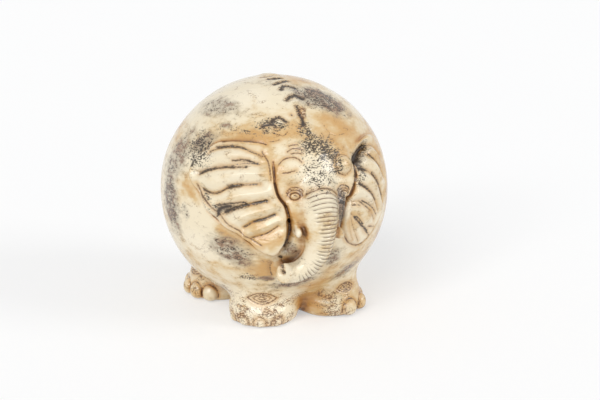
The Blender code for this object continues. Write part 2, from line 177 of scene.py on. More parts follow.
def glide(points: Sequence[Sequence[float]], count: int, closed: bool = False) -> Array:
    """Smooth curve through a few points.

    Args:
        points: Points to pass through, each a row of numbers.
        count: Number of points to return.
        closed: Whether the curve returns to its start.

    Returns:
        Points along the curve, one row each.
    """
    knots = np.asarray(points, float)
    spans = len(knots) if closed else len(knots) - 1
    where = np.linspace(0.0, spans, count, endpoint=not closed)
    first = np.minimum(where.astype(int), spans - 1)
    part = (where - first)[:, None]
    picks = [first + step for step in (-1, 0, 1, 2)]
    if closed:
        a, b, c, d = (knots[pick % len(knots)] for pick in picks)
    else:
        a, b, c, d = (knots[np.clip(pick, 0, len(knots) - 1)] for pick in picks)
    bend = 2.0 * a - 5.0 * b + 4.0 * c - d + part * (3.0 * (b - c) + d - a)
    return b + 0.5 * part * (c - a + part * bend)


def smooth_union(a: Array, b: Array, fillet: float) -> Array:
    """Join two distance fields with a soft fillet of a given width."""
    near = np.maximum(fillet - np.abs(a - b), 0.0) / fillet
    return np.minimum(a, b) - 0.25 * fillet * near * near


def smooth_cut(a: Array, b: Array, fillet: float) -> Array:
    """Take field b out of field a with a softened edge."""
    return -smooth_union(-a, b, fillet)


def ramp(values: Array, low: float, high: float) -> Array:
    """Smooth step from 0 at low to 1 at high."""
    part = np.clip((values - low) / (high - low), 0.0, 1.0)
    return part * part * (3.0 - 2.0 * part)


def batches(rows: Array, weight: int = 1) -> list[Array]:
    """Rows in parts that fit into memory, where each row stands for a number of points."""
    return np.array_split(rows, max(1, len(rows) * weight // BATCH))


def line_distance(spots: Array, line: Array) -> Array:
    """Distance from points to an open line of straight spans.

    Args:
        spots: Points in rows.
        line: Points of the line, in the same plane or space.

    Returns:
        Distances from zero up.
    """
    best = np.full(len(spots), FAR * FAR)
    for start, end in zip(line[:-1], line[1:]):
        span = end - start
        away = spots - start
        part = np.clip(away @ span / (span @ span), 0.0, 1.0)
        away = away - part[:, None] * span
        best = np.minimum(best, np.einsum("ij,ij->i", away, away))
    return np.sqrt(best)


def outline_distance(spots: Array, outline: Array) -> Array:
    """Signed distance in a plane to a closed outline.

    Args:
        spots: Points in the plane, one row each.
        outline: Corners of the outline, without a repeat of the first.

    Returns:
        Distances, below zero inside.
    """
    ring = np.vstack((outline, outline[:1]))
    inside = np.zeros(len(spots), bool)
    for start, end in zip(ring[:-1], ring[1:]):
        crosses = (start[1] > spots[:, 1]) != (end[1] > spots[:, 1])
        rise = end[1] - start[1] if end[1] != start[1] else TINY
        at = start[0] + (spots[:, 1] - start[1]) * (end[0] - start[0]) / rise
        inside ^= crosses & (spots[:, 0] < at)
    gap = line_distance(spots, ring)
    return np.where(inside, -gap, gap)


def ellipsoid(local: Array, size: Array) -> Array:
    """Distance from points to an ellipsoid.

    Args:
        local: Points in the ellipsoid's own frame, one row each.
        size: Half sizes along the axes of that frame.

    Returns:
        Distances, below zero inside, and close to true near the surface.
    """
    scaled = np.linalg.norm(local / size, axis=1)
    slope = np.linalg.norm(local / (size * size), axis=1)
    return scaled * (scaled - 1.0) / np.maximum(slope, TINY)


def level_axes(back: Array) -> Array:
    """Columns of unit vectors of a level camera or lamp: right, up and back."""
    right = np.cross((0.0, 0.0, 1.0), back)
    right /= np.linalg.norm(right)
    return np.stack((right, np.cross(back, right), back), axis=1)


def set_aimed(name: str, data: bpy.types.ID, axes: Array, spot: Array) -> bpy.types.Object:
    """Put a camera or a lamp into the scene.

    Args:
        name: Name of the object.
        data: The camera or the lamp.
        axes: Columns of unit vectors: right, up and back.
        spot: Its position, in metres.

    Returns:
        The object.
    """
    pose = np.eye(4)
    pose[:3, :3] = axes
    pose[:3, 3] = spot
    obj = bpy.data.objects.new(name, data)
    obj.matrix_world = Matrix(pose.tolist())
    bpy.context.scene.collection.objects.link(obj)
    return obj


def clay_mesh(name: str, points: Array, faces: Array) -> bpy.types.Mesh:
    """Make a smooth mesh from points.

    Args:
        name: Name of the mesh.
        points: Points in millimetres from the ball's middle.
        faces: Numbers of the corners of each face.

    Returns:
        The mesh, in metres and in place.
    """
    mesh = bpy.data.meshes.new(name)
    mesh.from_pydata(((points + BALL_CENTRE) * MM).tolist(), [], faces.tolist())
    mesh.polygons.foreach_set("use_smooth", np.ones(len(faces), bool))
    mesh.update()
    return mesh


def set_piece(
    name: str, mesh: bpy.types.Mesh, material: bpy.types.Material, body: Body, node: str
) -> bpy.types.Object:
    """Put a mesh into the scene as a piece that stands for a solid.

    Args:
        name: Name of the piece.
        mesh: Its mesh, in metres and in place.
        material: Its finish.
        body: Rigid body that it moves with.
        node: Name of the solid.

    Returns:
        The piece.
    """
    mesh.materials.append(material)
    obj = bpy.data.objects.new(name, mesh)
    bpy.context.scene.collection.objects.link(obj)
    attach(obj, body.value)
    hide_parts(node)
    LOG.info("%s: %d faces", name, len(mesh.polygons))
    return obj


@dataclass(frozen=True)
class Place:
    """Place on the ball with a frame of its own: across, up along the skin, and outwards.

    Attributes:
        turn: Turn from the front, in degrees.
        lift: Lift from the equator, in degrees.
        radius: Distance from the ball's middle.
        roll: Turn of the frame about its outward axis, in degrees.
    """

    turn: float
    lift: float
    radius: float = BALL_RADIUS
    roll: float = 0.0

    def point(self) -> Array:
        """Position in millimetres from the ball's middle."""
        return direction(self.turn, self.lift) * self.radius

    def axes(self) -> Array:
        """Rows of unit vectors: across, up and outwards."""
        out = direction(self.turn, self.lift)
        across = np.cross((0.0, 0.0, 1.0), out)
        across /= np.linalg.norm(across)
        up = np.cross(out, across)
        turned = math.radians(self.roll)
        c, s = math.cos(turned), math.sin(turned)
        return np.array((c * across + s * up, c * up - s * across, out))

    def local(self, spots: Array) -> Array:
        """Coordinates of points in this frame."""
        return (spots - self.point()) @ self.axes().T

    def flat(self, spots: Array) -> Array:
        """Coordinates across and up of points moved along their radius onto the ball."""
        reach = np.linalg.norm(spots, axis=1, keepdims=True)
        on_ball = spots * (BALL_RADIUS / np.maximum(reach, TINY))
        return (on_ball - direction(self.turn, self.lift) * BALL_RADIUS) @ self.axes()[:2].T

    def lifted(self, flat: Array) -> Array:
        """Point on the skin for coordinates across and up in this frame."""
        across, up, out = self.axes()
        rise = math.sqrt(max(BALL_RADIUS**2 - flat @ flat, 1.0))
        return flat[0] * across + flat[1] * up + rise * out

    @classmethod
    def towards(cls, vector: Array, radius: float = BALL_RADIUS) -> "Place":
        """Place in the direction of a unit vector."""
        turn = math.degrees(math.atan2(vector[0], -vector[1]))
        return cls(turn, math.degrees(math.asin(vector[2])), radius)


@dataclass(frozen=True)
class Facing(Place):
    """Place off the ball, with lines drawn on it as seen straight along its own direction.

    Attributes:
        spot: Position of the place, from the ball's middle.
    """

    spot: Triple = (0.0, 0.0, 0.0)

    def point(self) -> Array:
        """Position in millimetres from the ball's middle."""
        return np.array(self.spot)

    def flat(self, spots: Array) -> Array:
        """Coordinates across and up of points."""
        return self.local(spots)[:, :2]

    def lifted(self, flat: Array) -> Array:
        """Point for coordinates across and up in this frame."""
        return self.point() + flat @ self.axes()[:2]


def lump(spots: Array, place: Place, half: Sequence[float]) -> Array:
    """Distance to an ellipsoid with half sizes across, up and outwards."""
    return ellipsoid(place.local(spots), np.asarray(half, float))


@dataclass
class Groove:
    """Line pressed into the wet clay with a tool.

    Attributes:
        place: Frame in which the line is drawn.
        line: Points across and up in that frame, in millimetres.
        width: Half width of the dent.
        depth: Depth of the dent.
        soot_and_shade: Half width of the black laid in it, or 0 for a brown line; the black is stain, and
            painted shade in a few deep gaps.
    """

    place: Place
    line: Array
    width: float
    depth: float
    soot_and_shade: float = 0.0

    def reach(self) -> tuple[Array, float]:
        """Middle and radius of the space that the line can change."""
        slack, margin = 1.3, 12.0
        middle = 0.5 * (self.line.min(axis=0) + self.line.max(axis=0))
        span = float(np.linalg.norm(self.line - middle, axis=1).max())
        return self.place.lifted(middle), slack * span + margin

    def gap(self, spots: Array) -> Array:
        """Distance along the skin from points to the line."""
        return line_distance(self.place.flat(spots), self.line)


def stroke(angles: Sequence[Sequence[float]], width: float, depth: float, soot_and_shade: float) -> Groove:
    """Line pressed into the ball.

    Args:
        angles: Turn and lift of the points that it passes through, in degrees.
        width: Half width of the dent.
        depth: Depth of the dent.
        soot_and_shade: Half width of its black stain, or 0 for a brown line.

    Returns:
        The line in a frame at its own middle.
    """
    rows = np.array([direction(turn, lift) for turn, lift in angles])
    middle = rows.mean(axis=0)
    place = Place.towards(middle / np.linalg.norm(middle))
    return Groove(place, glide(place.flat(rows * BALL_RADIUS), 4 * len(rows)), width, depth, soot_and_shade)


@dataclass
class ClayPiece:
    """Lump of clay joined to what is under it.

    Attributes:
        name: Name of the piece, and of the solid that it stands for.
        fillet: Width of the slip fillet to what is under it.
        slot: Material slot of the record. It is not used.
    """

    name: str
    fillet: float = 2.0
    slot: Slot = Slot.GLAZE

    def reach(self) -> tuple[Array, float]:
        """Middle and radius of the piece's space."""
        raise NotImplementedError

    def distance(self, spots: Array) -> Array:
        """Signed distance from points to the piece.

        Args:
            spots: Points in rows.

        Returns:
            Distances, below zero inside.
        """
        raise NotImplementedError

    def grooves(self) -> list[Groove]:
        """Lines pressed into the piece."""
        return []


@dataclass
class Shell:
    """Hollow ball in two halves, with the ridge's swelling, the coin slot and the stopper hole.

    Attributes:
        wall: Thickness of the skin.
        belly_flat: Height of the flat under the belly, from the ball's middle.
        hole_radius: Radius of the stopper hole.
        slot_length: Length of the coin slot.
        slot_width: Width of the coin slot.
        slot_behind: Distance of the slot's middle behind the ball's axis.
        wobble: Height of the unevenness that hands leave in the skin.
        edge: Rounding of the edge of the belly's flat.
        ridge: The ridge that swells out of the skin.
    """

    wall: float = 6.0
    belly_flat: float = BELLY_FLAT
    hole_radius: float = 15.0
    slot_length: float = 34.0
    slot_width: float = 5.4
    slot_behind: float = 47.0
    wobble: float = 0.28
    edge: float = 3.0
    ridge: "Ridge" = field(default_factory=lambda: Ridge())

    def unevenness(self, spots: Array) -> Array:
        """Slow waves of the hand-smoothed skin."""
        x, y, z = spots.T
        wave = np.sin(0.083 * x + 0.041 * y + 1.3) + np.sin(0.067 * y - 0.052 * z + 0.4)
        wave += np.sin(0.094 * z + 0.038 * x + 2.1) + 0.6 * np.sin(0.17 * x - 0.13 * z)
        return self.wobble * wave / 2.0

    def distance(self, spots: Array) -> Array:
        """Signed distance to the ball, taken as full inside."""
        rise = np.linalg.norm(spots, axis=1) - BALL_RADIUS
        skin = rise - self.ridge.swelling(spots) - self.unevenness(spots)
        return smooth_cut(skin, spots[:, 2] - self.belly_flat, self.edge)

    def cuts(self, spots: Array) -> Array:
        """Distance to the space taken out by the slot and the hole.

        Args:
            spots: Points in rows.

        Returns:
            Distances, below zero where clay is taken out.
        """
        rise = np.linalg.norm(spots, axis=1) - BALL_RADIUS
        straight = 0.5 * (self.slot_length - self.slot_width)
        along = np.maximum(np.abs(spots[:, 1] - self.slot_behind) - straight, 0.0)
        slot = np.hypot(spots[:, 0], along) - 0.5 * self.slot_width
        slot = np.maximum(np.maximum(slot, -self.wall - rise), -spots[:, 2])
        hole = np.hypot(spots[:, 0], spots[:, 1]) - self.hole_radius
        hole = np.maximum(hole, spots[:, 2] - self.belly_flat - self.wall)
        return np.minimum(slot, hole)

    def lining(self, rings: int = 110, around: int = 240) -> tuple[Array, Array]:
        """Inside of the ball, open at the slot and at the stopper hole.

        Args:
            rings: Number of rings from the floor of the hollow to its crown.
            around: Number of points on a ring.

        Returns:
            Points in millimetres, and the corners of each face, which looks inwards.
        """
        crown, floor_rings, snap = math.radians(89.8), 5, 1.2
        inner, floor = BALL_RADIUS - self.wall, self.belly_flat + self.wall
        rise = np.linspace(math.asin(floor / inner), crown, rings)
        flat = np.linspace(self.hole_radius, inner * math.cos(rise[0]), floor_rings)[:-1]
        reach = np.concatenate((flat, inner * np.cos(rise)))
        height = np.concatenate((np.full(len(flat), floor), inner * np.sin(rise)))
        turn = np.linspace(0.0, math.tau, around, endpoint=False)
        tall = np.outer(height, np.ones(around))
        points = np.stack((np.outer(reach, np.cos(turn)), np.outer(reach, np.sin(turn)), tall), axis=-1)
        points = points.reshape(-1, 3)
        # Points beside the slot are drawn onto its edge, so that the lining meets the slot's walls.
        straight = 0.5 * (self.slot_length - self.slot_width)
        core = self.slot_behind + np.clip(points[:, 1] - self.slot_behind, -straight, straight)
        away = np.hypot(points[:, 0], points[:, 1] - core)
        gap = np.where(points[:, 2] > 0.0, away - 0.5 * self.slot_width, FAR)
        near = np.abs(gap) < snap
        shrink = 0.5 * self.slot_width / away[near]
        points[near, 0] *= shrink
        points[near, 1] = core[near] + (points[near, 1] - core[near]) * shrink
        points[near, 2] = np.sqrt(inner**2 - points[near, 0] ** 2 - points[near, 1] ** 2)
        numbers = np.arange(len(points)).reshape(len(reach), around)
        after = np.roll(numbers, -1, axis=1)
        quads = np.stack((numbers[:-1], numbers[1:], after[1:], after[:-1]), axis=-1).reshape(-1, 4)
        return points, quads[gap[quads].mean(axis=1) > 0.0]


@dataclass
class Ridge:
    """Knobbed swelling of the skin from the forehead over the crown.

    Attributes:
        notches: Lifts of its ends and of the notches across it, carried on over the crown.
        height: Height of a knob over the ball, at the forehead and behind the crown.
        half_width: Half width at the foot of the ridge.
        notch: Half width of a notch along the ridge.
    """

    notches: tuple[float, ...] = (33.0, 42.4, 52.6, 62.8, 71.0, 77.4, 83.5, 90.5, 97.5, 104.0)
    height: Pair = (2.0, 0.9)
    half_width: float = 8.4
    notch: float = 1.8

    @staticmethod
    def lift(spots: Array) -> Array:
        """Lift of points, carried on over the crown."""
        lift = np.degrees(np.arctan2(spots[:, 2], -spots[:, 1]))
        return np.where(lift < -90.0, lift + 360.0, lift)

    def notch_gap(self, spots: Array) -> Array:
        """Distance along the ridge from points to the nearest notch."""
        inner = np.array(self.notches[1:-1])
        return np.abs(self.lift(spots)[:, None] - inner).min(axis=1) * math.radians(BALL_RADIUS)

    def swelling(self, spots: Array) -> Array:
        """Height of the ridge over the ball.

        Args:
            spots: Points near the skin, one row each.

        Returns:
            Heights from zero up.
        """
        first, last = self.notches[0], self.notches[-1]
        notch_depth, height_lifts, before, after, end_fade = 0.65, (40.0, 75.0), 5.0, 9.0, 4.0
        lift = self.lift(spots)
        side = 1.0 - ramp(np.abs(spots[:, 0]), 0.2 * self.half_width, self.half_width)
        knob = 1.0 - notch_depth * np.exp(-((self.notch_gap(spots) / self.notch) ** 2))
        ends = ramp(lift, first - before, first + after)
        ends = ends * (1.0 - ramp(lift, last - end_fade, last))
        tall = np.interp(lift, height_lifts, self.height)
        return tall * side * knob * ends


@dataclass
class FacePad(ClayPiece):
    """Forehead, cheeks and temples, swelling softly out of the ball.

    Attributes:
        sag: Angle by which each side hangs lower about the middle of the face, in degrees.
        forehead: Middle of the forehead's lump.
        forehead_half: Its half sizes across, up and out.
        sides: Turn, lift, radius and half sizes of the cheek and the temple, for the left side.
        join: Width of the fillets between these lumps.
    """

    name: str = "face"
    fillet: float = 8.0
    sag: float = 4.7
    forehead: Place = Place(1.2, 23.0, 76.0)
    forehead_half: Triple = (20.0, 26.0, 13.6)
    sides: tuple[tuple[Triple, Triple], ...] = (
        ((11.8, 4.4, 82.6), (7.4, 13.0, 7.0)), ((17.2, 24.0, 80.0), (7.0, 15.0, 7.6)),
    )
    join: float = 6.0

    def reach(self) -> tuple[Array, float]:
        """Middle and radius of the piece's space."""
        return Place(0.0, 16.0, 84.0).point(), 50.0

    def distance(self, spots: Array) -> Array:
        """Signed distance from points to the piece."""
        result = lump(spots, self.forehead, self.forehead_half)
        for hand in Hand:
            for (turn, lift, radius), half in self.sides:
                place = Place.towards(on_head([(turn, lift)], hand, self.sag)[0], radius)
                result = smooth_union(result, lump(spots, place, half), self.join)
        return result


@dataclass
class Ear(ClayPiece):
    """Ribbed ear lying on the ball. All lines on it are rows of (turn, lift) for the left side.

    Attributes:
        hand: Side of the animal.
        middle: Turn and lift of the ear's middle.
        root: Where the ear grows out of the head without a step.
        outline: Edge of the ear.
        rib_lines: Lines between the ribs.
        marks: Black marks in those lines, each with the half width of its stain; the widest mark on the left
            ear is painted shadow.
        cuts: Half width, depth and half width of black of each further pressed line, and the line; that black
            is stain, and painted shade in the deepest cuts.
        height: Thickness at the bottom of the lines between the ribs.
        tuck: Distances from the root over which the outer edge sinks into the ball.
        rib: Height and half width of the rounding of a rib.
        rounding: Radius of the edge.
        line_points: Number of points along a line.
    """

    name: str = "ear"
    fillet: float = 1.2
    hand: Hand = Hand.LEFT
    middle: Pair = (39.0, 11.0)
    root: Pair = (23.5, 34.0)
    outline: Path = ()
    rib_lines: tuple[Path, ...] = ()
    marks: tuple[tuple[float, Path], ...] = ()
    cuts: tuple[tuple[float, float, float, Path], ...] = ()
    height: float = 2.4
    tuck: Pair = (FAR, FAR)
    rib: Pair = (4.0, 4.8)
    rounding: float = 2.4
    line_points: int = 9

    def place(self) -> Place:
        """Frame at the middle of the ear."""
        turn, lift = self.middle
        return Place(self.hand.value * turn, lift)

    def drawn(self, angles: Sequence[Sequence[float]], count: int, closed: bool = False) -> Array:
        """Smooth line through places on the ear, as coordinates in its frame."""
        return self.place().flat(on_head(glide(angles, count, closed), self.hand) * BALL_RADIUS)

    def reach(self) -> tuple[Array, float]:
        """Middle and radius of the piece's space."""
        return self.place().point(), 54.0

    def distance(self, spots: Array) -> Array:
        """Signed distance from points to the piece."""
        flat = self.place().flat(spots)
        edge_points, sink = 76, 0.75
        edge = outline_distance(flat, self.drawn(self.outline, edge_points, closed=True))
        between = np.full(len(spots), FAR)
        for line in self.rib_lines:
            between = np.minimum(between, line_distance(flat, self.drawn(line, self.line_points)))
        tall, half = self.rib
        thick = self.height + tall * (1.0 - np.exp(-((between / half) ** 2)))
        rooted = np.linalg.norm(flat - self.drawn([self.root], 1), axis=1)
        share, near, whole = 0.3, 2.0, 17.0
        thick = thick * (share + (1.0 - share) * ramp(rooted, near, whole))
        along = np.linalg.norm(flat - self.drawn([self.outline[0]], 1), axis=1)
        if self.tuck[0] < FAR:
            thick = thick * (1.0 - sink * ramp(along, *self.tuck))
        side = edge + self.rounding
        top = np.linalg.norm(spots, axis=1) - BALL_RADIUS - thick + self.rounding
        corner = np.hypot(np.maximum(side, 0.0), np.maximum(top, 0.0))
        return np.minimum(np.maximum(side, top), 0.0) + corner - self.rounding

    def grooves(self) -> list[Groove]:
        """Lines between the ribs, the marks in them, and the creases along the edge."""
        press, mark_press = (0.9, 0.5, 0.35), (1.0, 0.25)
        place, count = self.place(), self.line_points
        lines = [Groove(place, self.drawn(line, count), *press) for line in self.rib_lines]
        lines += [Groove(place, self.drawn(line, count), *mark_press, soot_and_shade) for soot_and_shade, line in self.marks]
        for width, depth, soot_and_shade, line in self.cuts:
            lines.append(Groove(place, self.drawn(line, 4 * len(line)), width, depth, soot_and_shade))
        return lines


@dataclass
class Brow(ClayPiece):
    """Heavy brow: a round lump with a fold across it, and a smaller lump over it.

    Attributes:
        hand: Side of the animal.
        lobes: Turn, lift, radius and half sizes of each lump.
        folds: Lines pressed into and round the lumps, as (turn, lift).
        soot_and_shade: Half width of the black stain in those lines, or 0 for brown lines.
        join: Width of the fillet between the lumps.
        press: Half width and depth of those lines.
    """

    name: str = "brow"
    fillet: float = 2.0
    hand: Hand = Hand.LEFT
    lobes: tuple[tuple[Triple, Triple], ...] = (
        ((13.2, 23.9, 86.2), (10.2, 9.0, 4.3)),
        ((10.0, 31.0, 84.6), (6.0, 3.4, 3.4)),
    )
    folds: tuple[Path, ...] = (
        ((17.0, 22.6), (13.6, 23.0), (10.4, 23.8)),
        ((18.9, 26.4), (16.4, 29.0), (13.0, 29.9), (9.3, 29.5), (7.0, 27.4)),
        ((13.6, 33.1), (11.0, 34.4), (8.2, 34.2), (5.5, 33.2)),
        ((12.6, 35.8), (10.7, 36.3), (8.1, 36.2)),
        ((12.0, 31.6), (9.0, 31.9), (6.4, 31.2)),
    )
    soot_and_shade: float = 0.0
    join: float = 3.0
    press: Pair = (0.5, 0.2)

    def reach(self) -> tuple[Array, float]:
        """Middle and radius of the piece's space."""
        (turn, lift, radius), _ = self.lobes[0]
        return Place(self.hand.value * turn, lift, radius).point(), 20.0

    def distance(self, spots: Array) -> Array:
        """Signed distance from points to the piece."""
        result = np.full(len(spots), FAR)
        for (turn, lift, radius), half in self.lobes:
            place = Place(self.hand.value * turn, lift, radius)
            result = smooth_union(result, lump(spots, place, half), self.join)
        return result

    def grooves(self) -> list[Groove]:
        """Folds in and round the lumps."""
        (turn, lift, _), _ = self.lobes[0]
        place = Place(self.hand.value * turn, lift)
        rows = [on_head(glide(fold, 7), self.hand) * BALL_RADIUS for fold in self.folds]
        return [Groove(place, place.flat(row), *self.press, self.soot_and_shade) for row in rows]


@dataclass
class Eye(ClayPiece):
    """Almond eye under lids pressed as thin lines.

    Attributes:
        hand: Side of the animal.
        spot: Turn, lift and radius of its middle.
        half: Half sizes across, up and out.
        lids: Half sizes of the lines round the eye, and the angles between which each is drawn.
        soot_and_shade: Half width of the black in those lines, or 0 for brown lines; on the left eye it is
            painted shade.
        press: Half width and depth of those lines.
    """

    name: str = "eye"
    fillet: float = 0.8
    slot: Slot = Slot.STAINED
    hand: Hand = Hand.LEFT
    spot: Triple = (11.5, 12.2, 86.6)
    half: Triple = (4.0, 2.6, 3.0)
    lids: tuple[tuple[float, float, float, float], ...] = (
        (1.0, 0.7, 20.0, 200.0), (3.6, 2.4, 0.0, 360.0), (5.0, 4.2, 0.0, 180.0), (6.2, 6.0, 20.0, 150.0),
    )
    soot_and_shade: float = 0.0
    press: Pair = (0.5, 0.35)

    def place(self) -> Place:
        """Frame at the middle of the eye."""
        return Place(self.hand.value * self.spot[0], self.spot[1], self.spot[2])

    def reach(self) -> tuple[Array, float]:
        """Middle and radius of the piece's space."""
        return self.place().point(), 9.0

    def distance(self, spots: Array) -> Array:
        """Signed distance from points to the piece."""
        return lump(spots, self.place(), self.half)

    def grooves(self) -> list[Groove]:
        """Lines round the eye and of the lids over it."""
        lines = []
        for wide, high, start, end in self.lids:
            angles = np.radians(np.linspace(start, end, 19))
            ring = np.stack((self.hand.value * wide * np.cos(angles), high * np.sin(angles)), axis=1)
            lines.append(Groove(self.place(), ring, *self.press, self.soot_and_shade))
        return lines


@dataclass
class Rod(ClayPiece):
    """Rolled piece of clay along a curve, such as the trunk, a tusk or the tail.

    Attributes:
        path: Turn, lift and radius of points on its middle line, for the left side.
        radii: Radius of the clay at those points.
        hand: Side of the animal.
        steps: Number of points on the curve.
    """

    path: tuple[Triple, ...] = ()
    radii: tuple[float, ...] = ()
    hand: Hand = Hand.LEFT
    steps: int = 36

    def line(self) -> tuple[Array, Array]:
        """Points of the middle line and the radius at each."""
        angles = glide(self.path, self.steps)
        points = np.array([direction(self.hand.value * turn, lift) * radius for turn, lift, radius in angles])
        return points, glide([(value,) for value in self.radii], self.steps)[:, 0]

    def reach(self) -> tuple[Array, float]:
        """Middle and radius of the piece's space."""
        points, radii = self.line()
        middle = 0.5 * (points.min(axis=0) + points.max(axis=0))
        return middle, float(np.linalg.norm(points - middle, axis=1).max() + radii.max())

    def measure(self, spots: Array) -> tuple[Array, Array]:
        """Measure points against the rod.

        Args:
            spots: Points in rows.

        Returns:
            Distances, below zero inside, and the length run along the rod.
        """
        points, radii = self.line()
        runs = np.concatenate(([0.0], np.cumsum(np.linalg.norm(np.diff(points, axis=0), axis=1))))
        best = np.full(len(spots), FAR)
        run = np.zeros(len(spots))
        for index in range(len(points) - 1):
            span = points[index + 1] - points[index]
            away = spots - points[index]
            part = np.clip(away @ span / (span @ span), 0.0, 1.0)
            gap = np.linalg.norm(away - part[:, None] * span, axis=1)
            gap -= radii[index] + part * (radii[index + 1] - radii[index])
            nearer = gap < best
            best = np.where(nearer, gap, best)
            run = np.where(nearer, runs[index] + part * (runs[index + 1] - runs[index]), run)
        return best, run

    def distance(self, spots: Array) -> Array:
        """Signed distance from points to the piece."""
        return self.measure(spots)[0]


@dataclass
class Trunk(Rod):
    """Trunk that hangs over the chest and curls to the animal's right, with a dished end and two nostrils.

    Attributes:
        nostrils: Turn, lift and radius of each nostril, on the outer side of the end.
        nostril: Radius of a nostril.
        brim: Line at the top where the wrinkles start, as (turn, lift).
        crescent: Hollow in the chest round the end of the trunk, as (turn, lift).
        wrinkle: Spacing of the wrinkles at the top and at the end.
        bow: How far a wrinkle sags at its ends, at the top of the trunk.
        bare: Share of the length, and how far from the middle line the wrinkles stop on the inner side there.
    """

    name: str = "trunk"
    fillet: float = 4.5
    path: tuple[Triple, ...] = (
        (0.0, 18.0, 79.5), (0.0, 14.0, 85.0), (0.0, 9.0, 87.6), (0.0, 2.5, 88.5), (-0.2, -5.0, 89.5),
        (-1.0, -12.4, 91.0), (-4.1, -18.6, 92.5), (-9.6, -22.4, 93.8), (-13.8, -22.6, 95.2),
        (-17.0, -20.8, 98.8),
    )
    radii: tuple[float, ...] = (10.4, 11.6, 12.2, 12.4, 11.2, 9.4, 8.2, 7.4, 7.2, 7.0)
    steps: int = 48
    nostrils: tuple[Triple, ...] = ((-18.0, -18.6, 95.2), (-17.1, -20.9, 98.0))
    nostril: float = 1.6
    brim: Path = (
        (-7.2, 12.1), (-6.0, 13.8), (-3.8, 14.9), (-0.8, 15.2), (2.6, 14.4), (5.5, 13.0), (8.9, 11.1),
    )
    crescent: Path = (
        (-22.7, -22.6), (-23.5, -25.0), (-23.5, -28.3), (-22.6, -31.6),
    )
    wrinkle: Pair = (2.8, 1.9)
    bow: float = 5.0
    bare: tuple[tuple[float, ...], tuple[float, ...]] = (
        (0.0, 0.16, 0.4, 0.6, 0.85), (-13.0, -11.0, -5.0, -4.4, -3.6),
    )

    def distance(self, spots: Array) -> Array:
        """Signed distance from points to the piece."""
        points, _ = self.line()
        tip = points[-1]
        along = points[-1] - points[-3]
        along /= np.linalg.norm(along)
        past, rounding = 1.0, 1.6
        result = smooth_cut(super().distance(spots), -((spots - tip) @ along - past), rounding)
        ahead, radius, rounding, nostril_edge = 9.5, 10.2, 1.2, 0.7
        dish = np.linalg.norm(spots - tip - along * ahead, axis=1) - radius
        result = smooth_cut(result, dish, rounding)
        for turn, lift, radius in self.nostrils:
            mouth = direction(turn, lift) * radius
            hole = np.linalg.norm(spots - mouth, axis=1) - self.nostril
            result = smooth_cut(result, hole, nostril_edge)
        return result

    def grooves(self) -> list[Groove]:
        """First wrinkle, the hollow round the end, and black dots of painted shade in the nostrils."""
        brim_press, crescent_press, nostril_press = (0.7, 0.5, 0.3), (1.8, 1.4, 0.6), (0.8, 0.2, 1.5)
        lines = [stroke(self.brim, *brim_press), stroke(self.crescent, *crescent_press)]
        # The black dots in the nostrils are painted shade in their holes.
        for turn, lift, _ in self.nostrils:
            ends = [(turn - 0.5, lift + 0.4), (turn + 0.5, lift - 0.4)]
            lines.append(stroke(ends, *nostril_press))
        return lines

    def wrinkles(self, spots: Array) -> tuple[Array, Array]:
        """Wrinkles of the trunk at points, which the glaze shows as dark lines and as bump.

        Args:
            spots: Points in rows.

        Returns:
            Count of wrinkles run from the brim, and how strongly they show from 0 to 1.
        """
        place = Place(*self.path[4][:2])
        line = place.flat(self.line()[0])
        flat = place.flat(spots)
        spans = np.diff(line, axis=0)
        lengths = np.linalg.norm(spans, axis=1)
        runs = np.concatenate(([0.0], np.cumsum(lengths)))
        best, run, aside = np.full(len(spots), FAR), np.zeros(len(spots)), np.zeros(len(spots))
        for start, span, length, before in zip(line[:-1], spans, lengths, runs):
            away = flat - start
            part = np.clip(away @ span / length**2, 0.0, 1.0)
            gap = np.linalg.norm(away - part[:, None] * span, axis=1)
            nearer = gap < best
            best = np.where(nearer, gap, best)
            run = np.where(nearer, before + part * length, run)
            aside = np.where(nearer, away @ np.array((-span[1], span[0])) / length, aside)
        share = run / runs[-1]
        first, last = self.wrinkle
        change = (last - first) / runs[-1]
        sag = self.bow * (1.0 - 0.8 * ramp(share, 0.1, 0.45)) * (aside / self.radii[2]) ** 2
        brim = math.radians(self.path[0][1] - self.brim[3][1]) * BALL_RADIUS
        length = np.maximum(run - sag - brim, -brim)
        count = np.log(1.0 + change * length / first) / change
        sway = 1.3 * np.sin(0.9 * run) + 0.8 * np.sin(2.1 * run + 1.0)
        show = ramp(aside + sway - np.interp(share, *self.bare), 0.0, 3.0) * ramp(count, -0.3, -0.1)
        return count, show * ramp(-self.measure(spots)[0], -1.7, -0.6) * (1.0 - ramp(share, 0.86, 0.92))


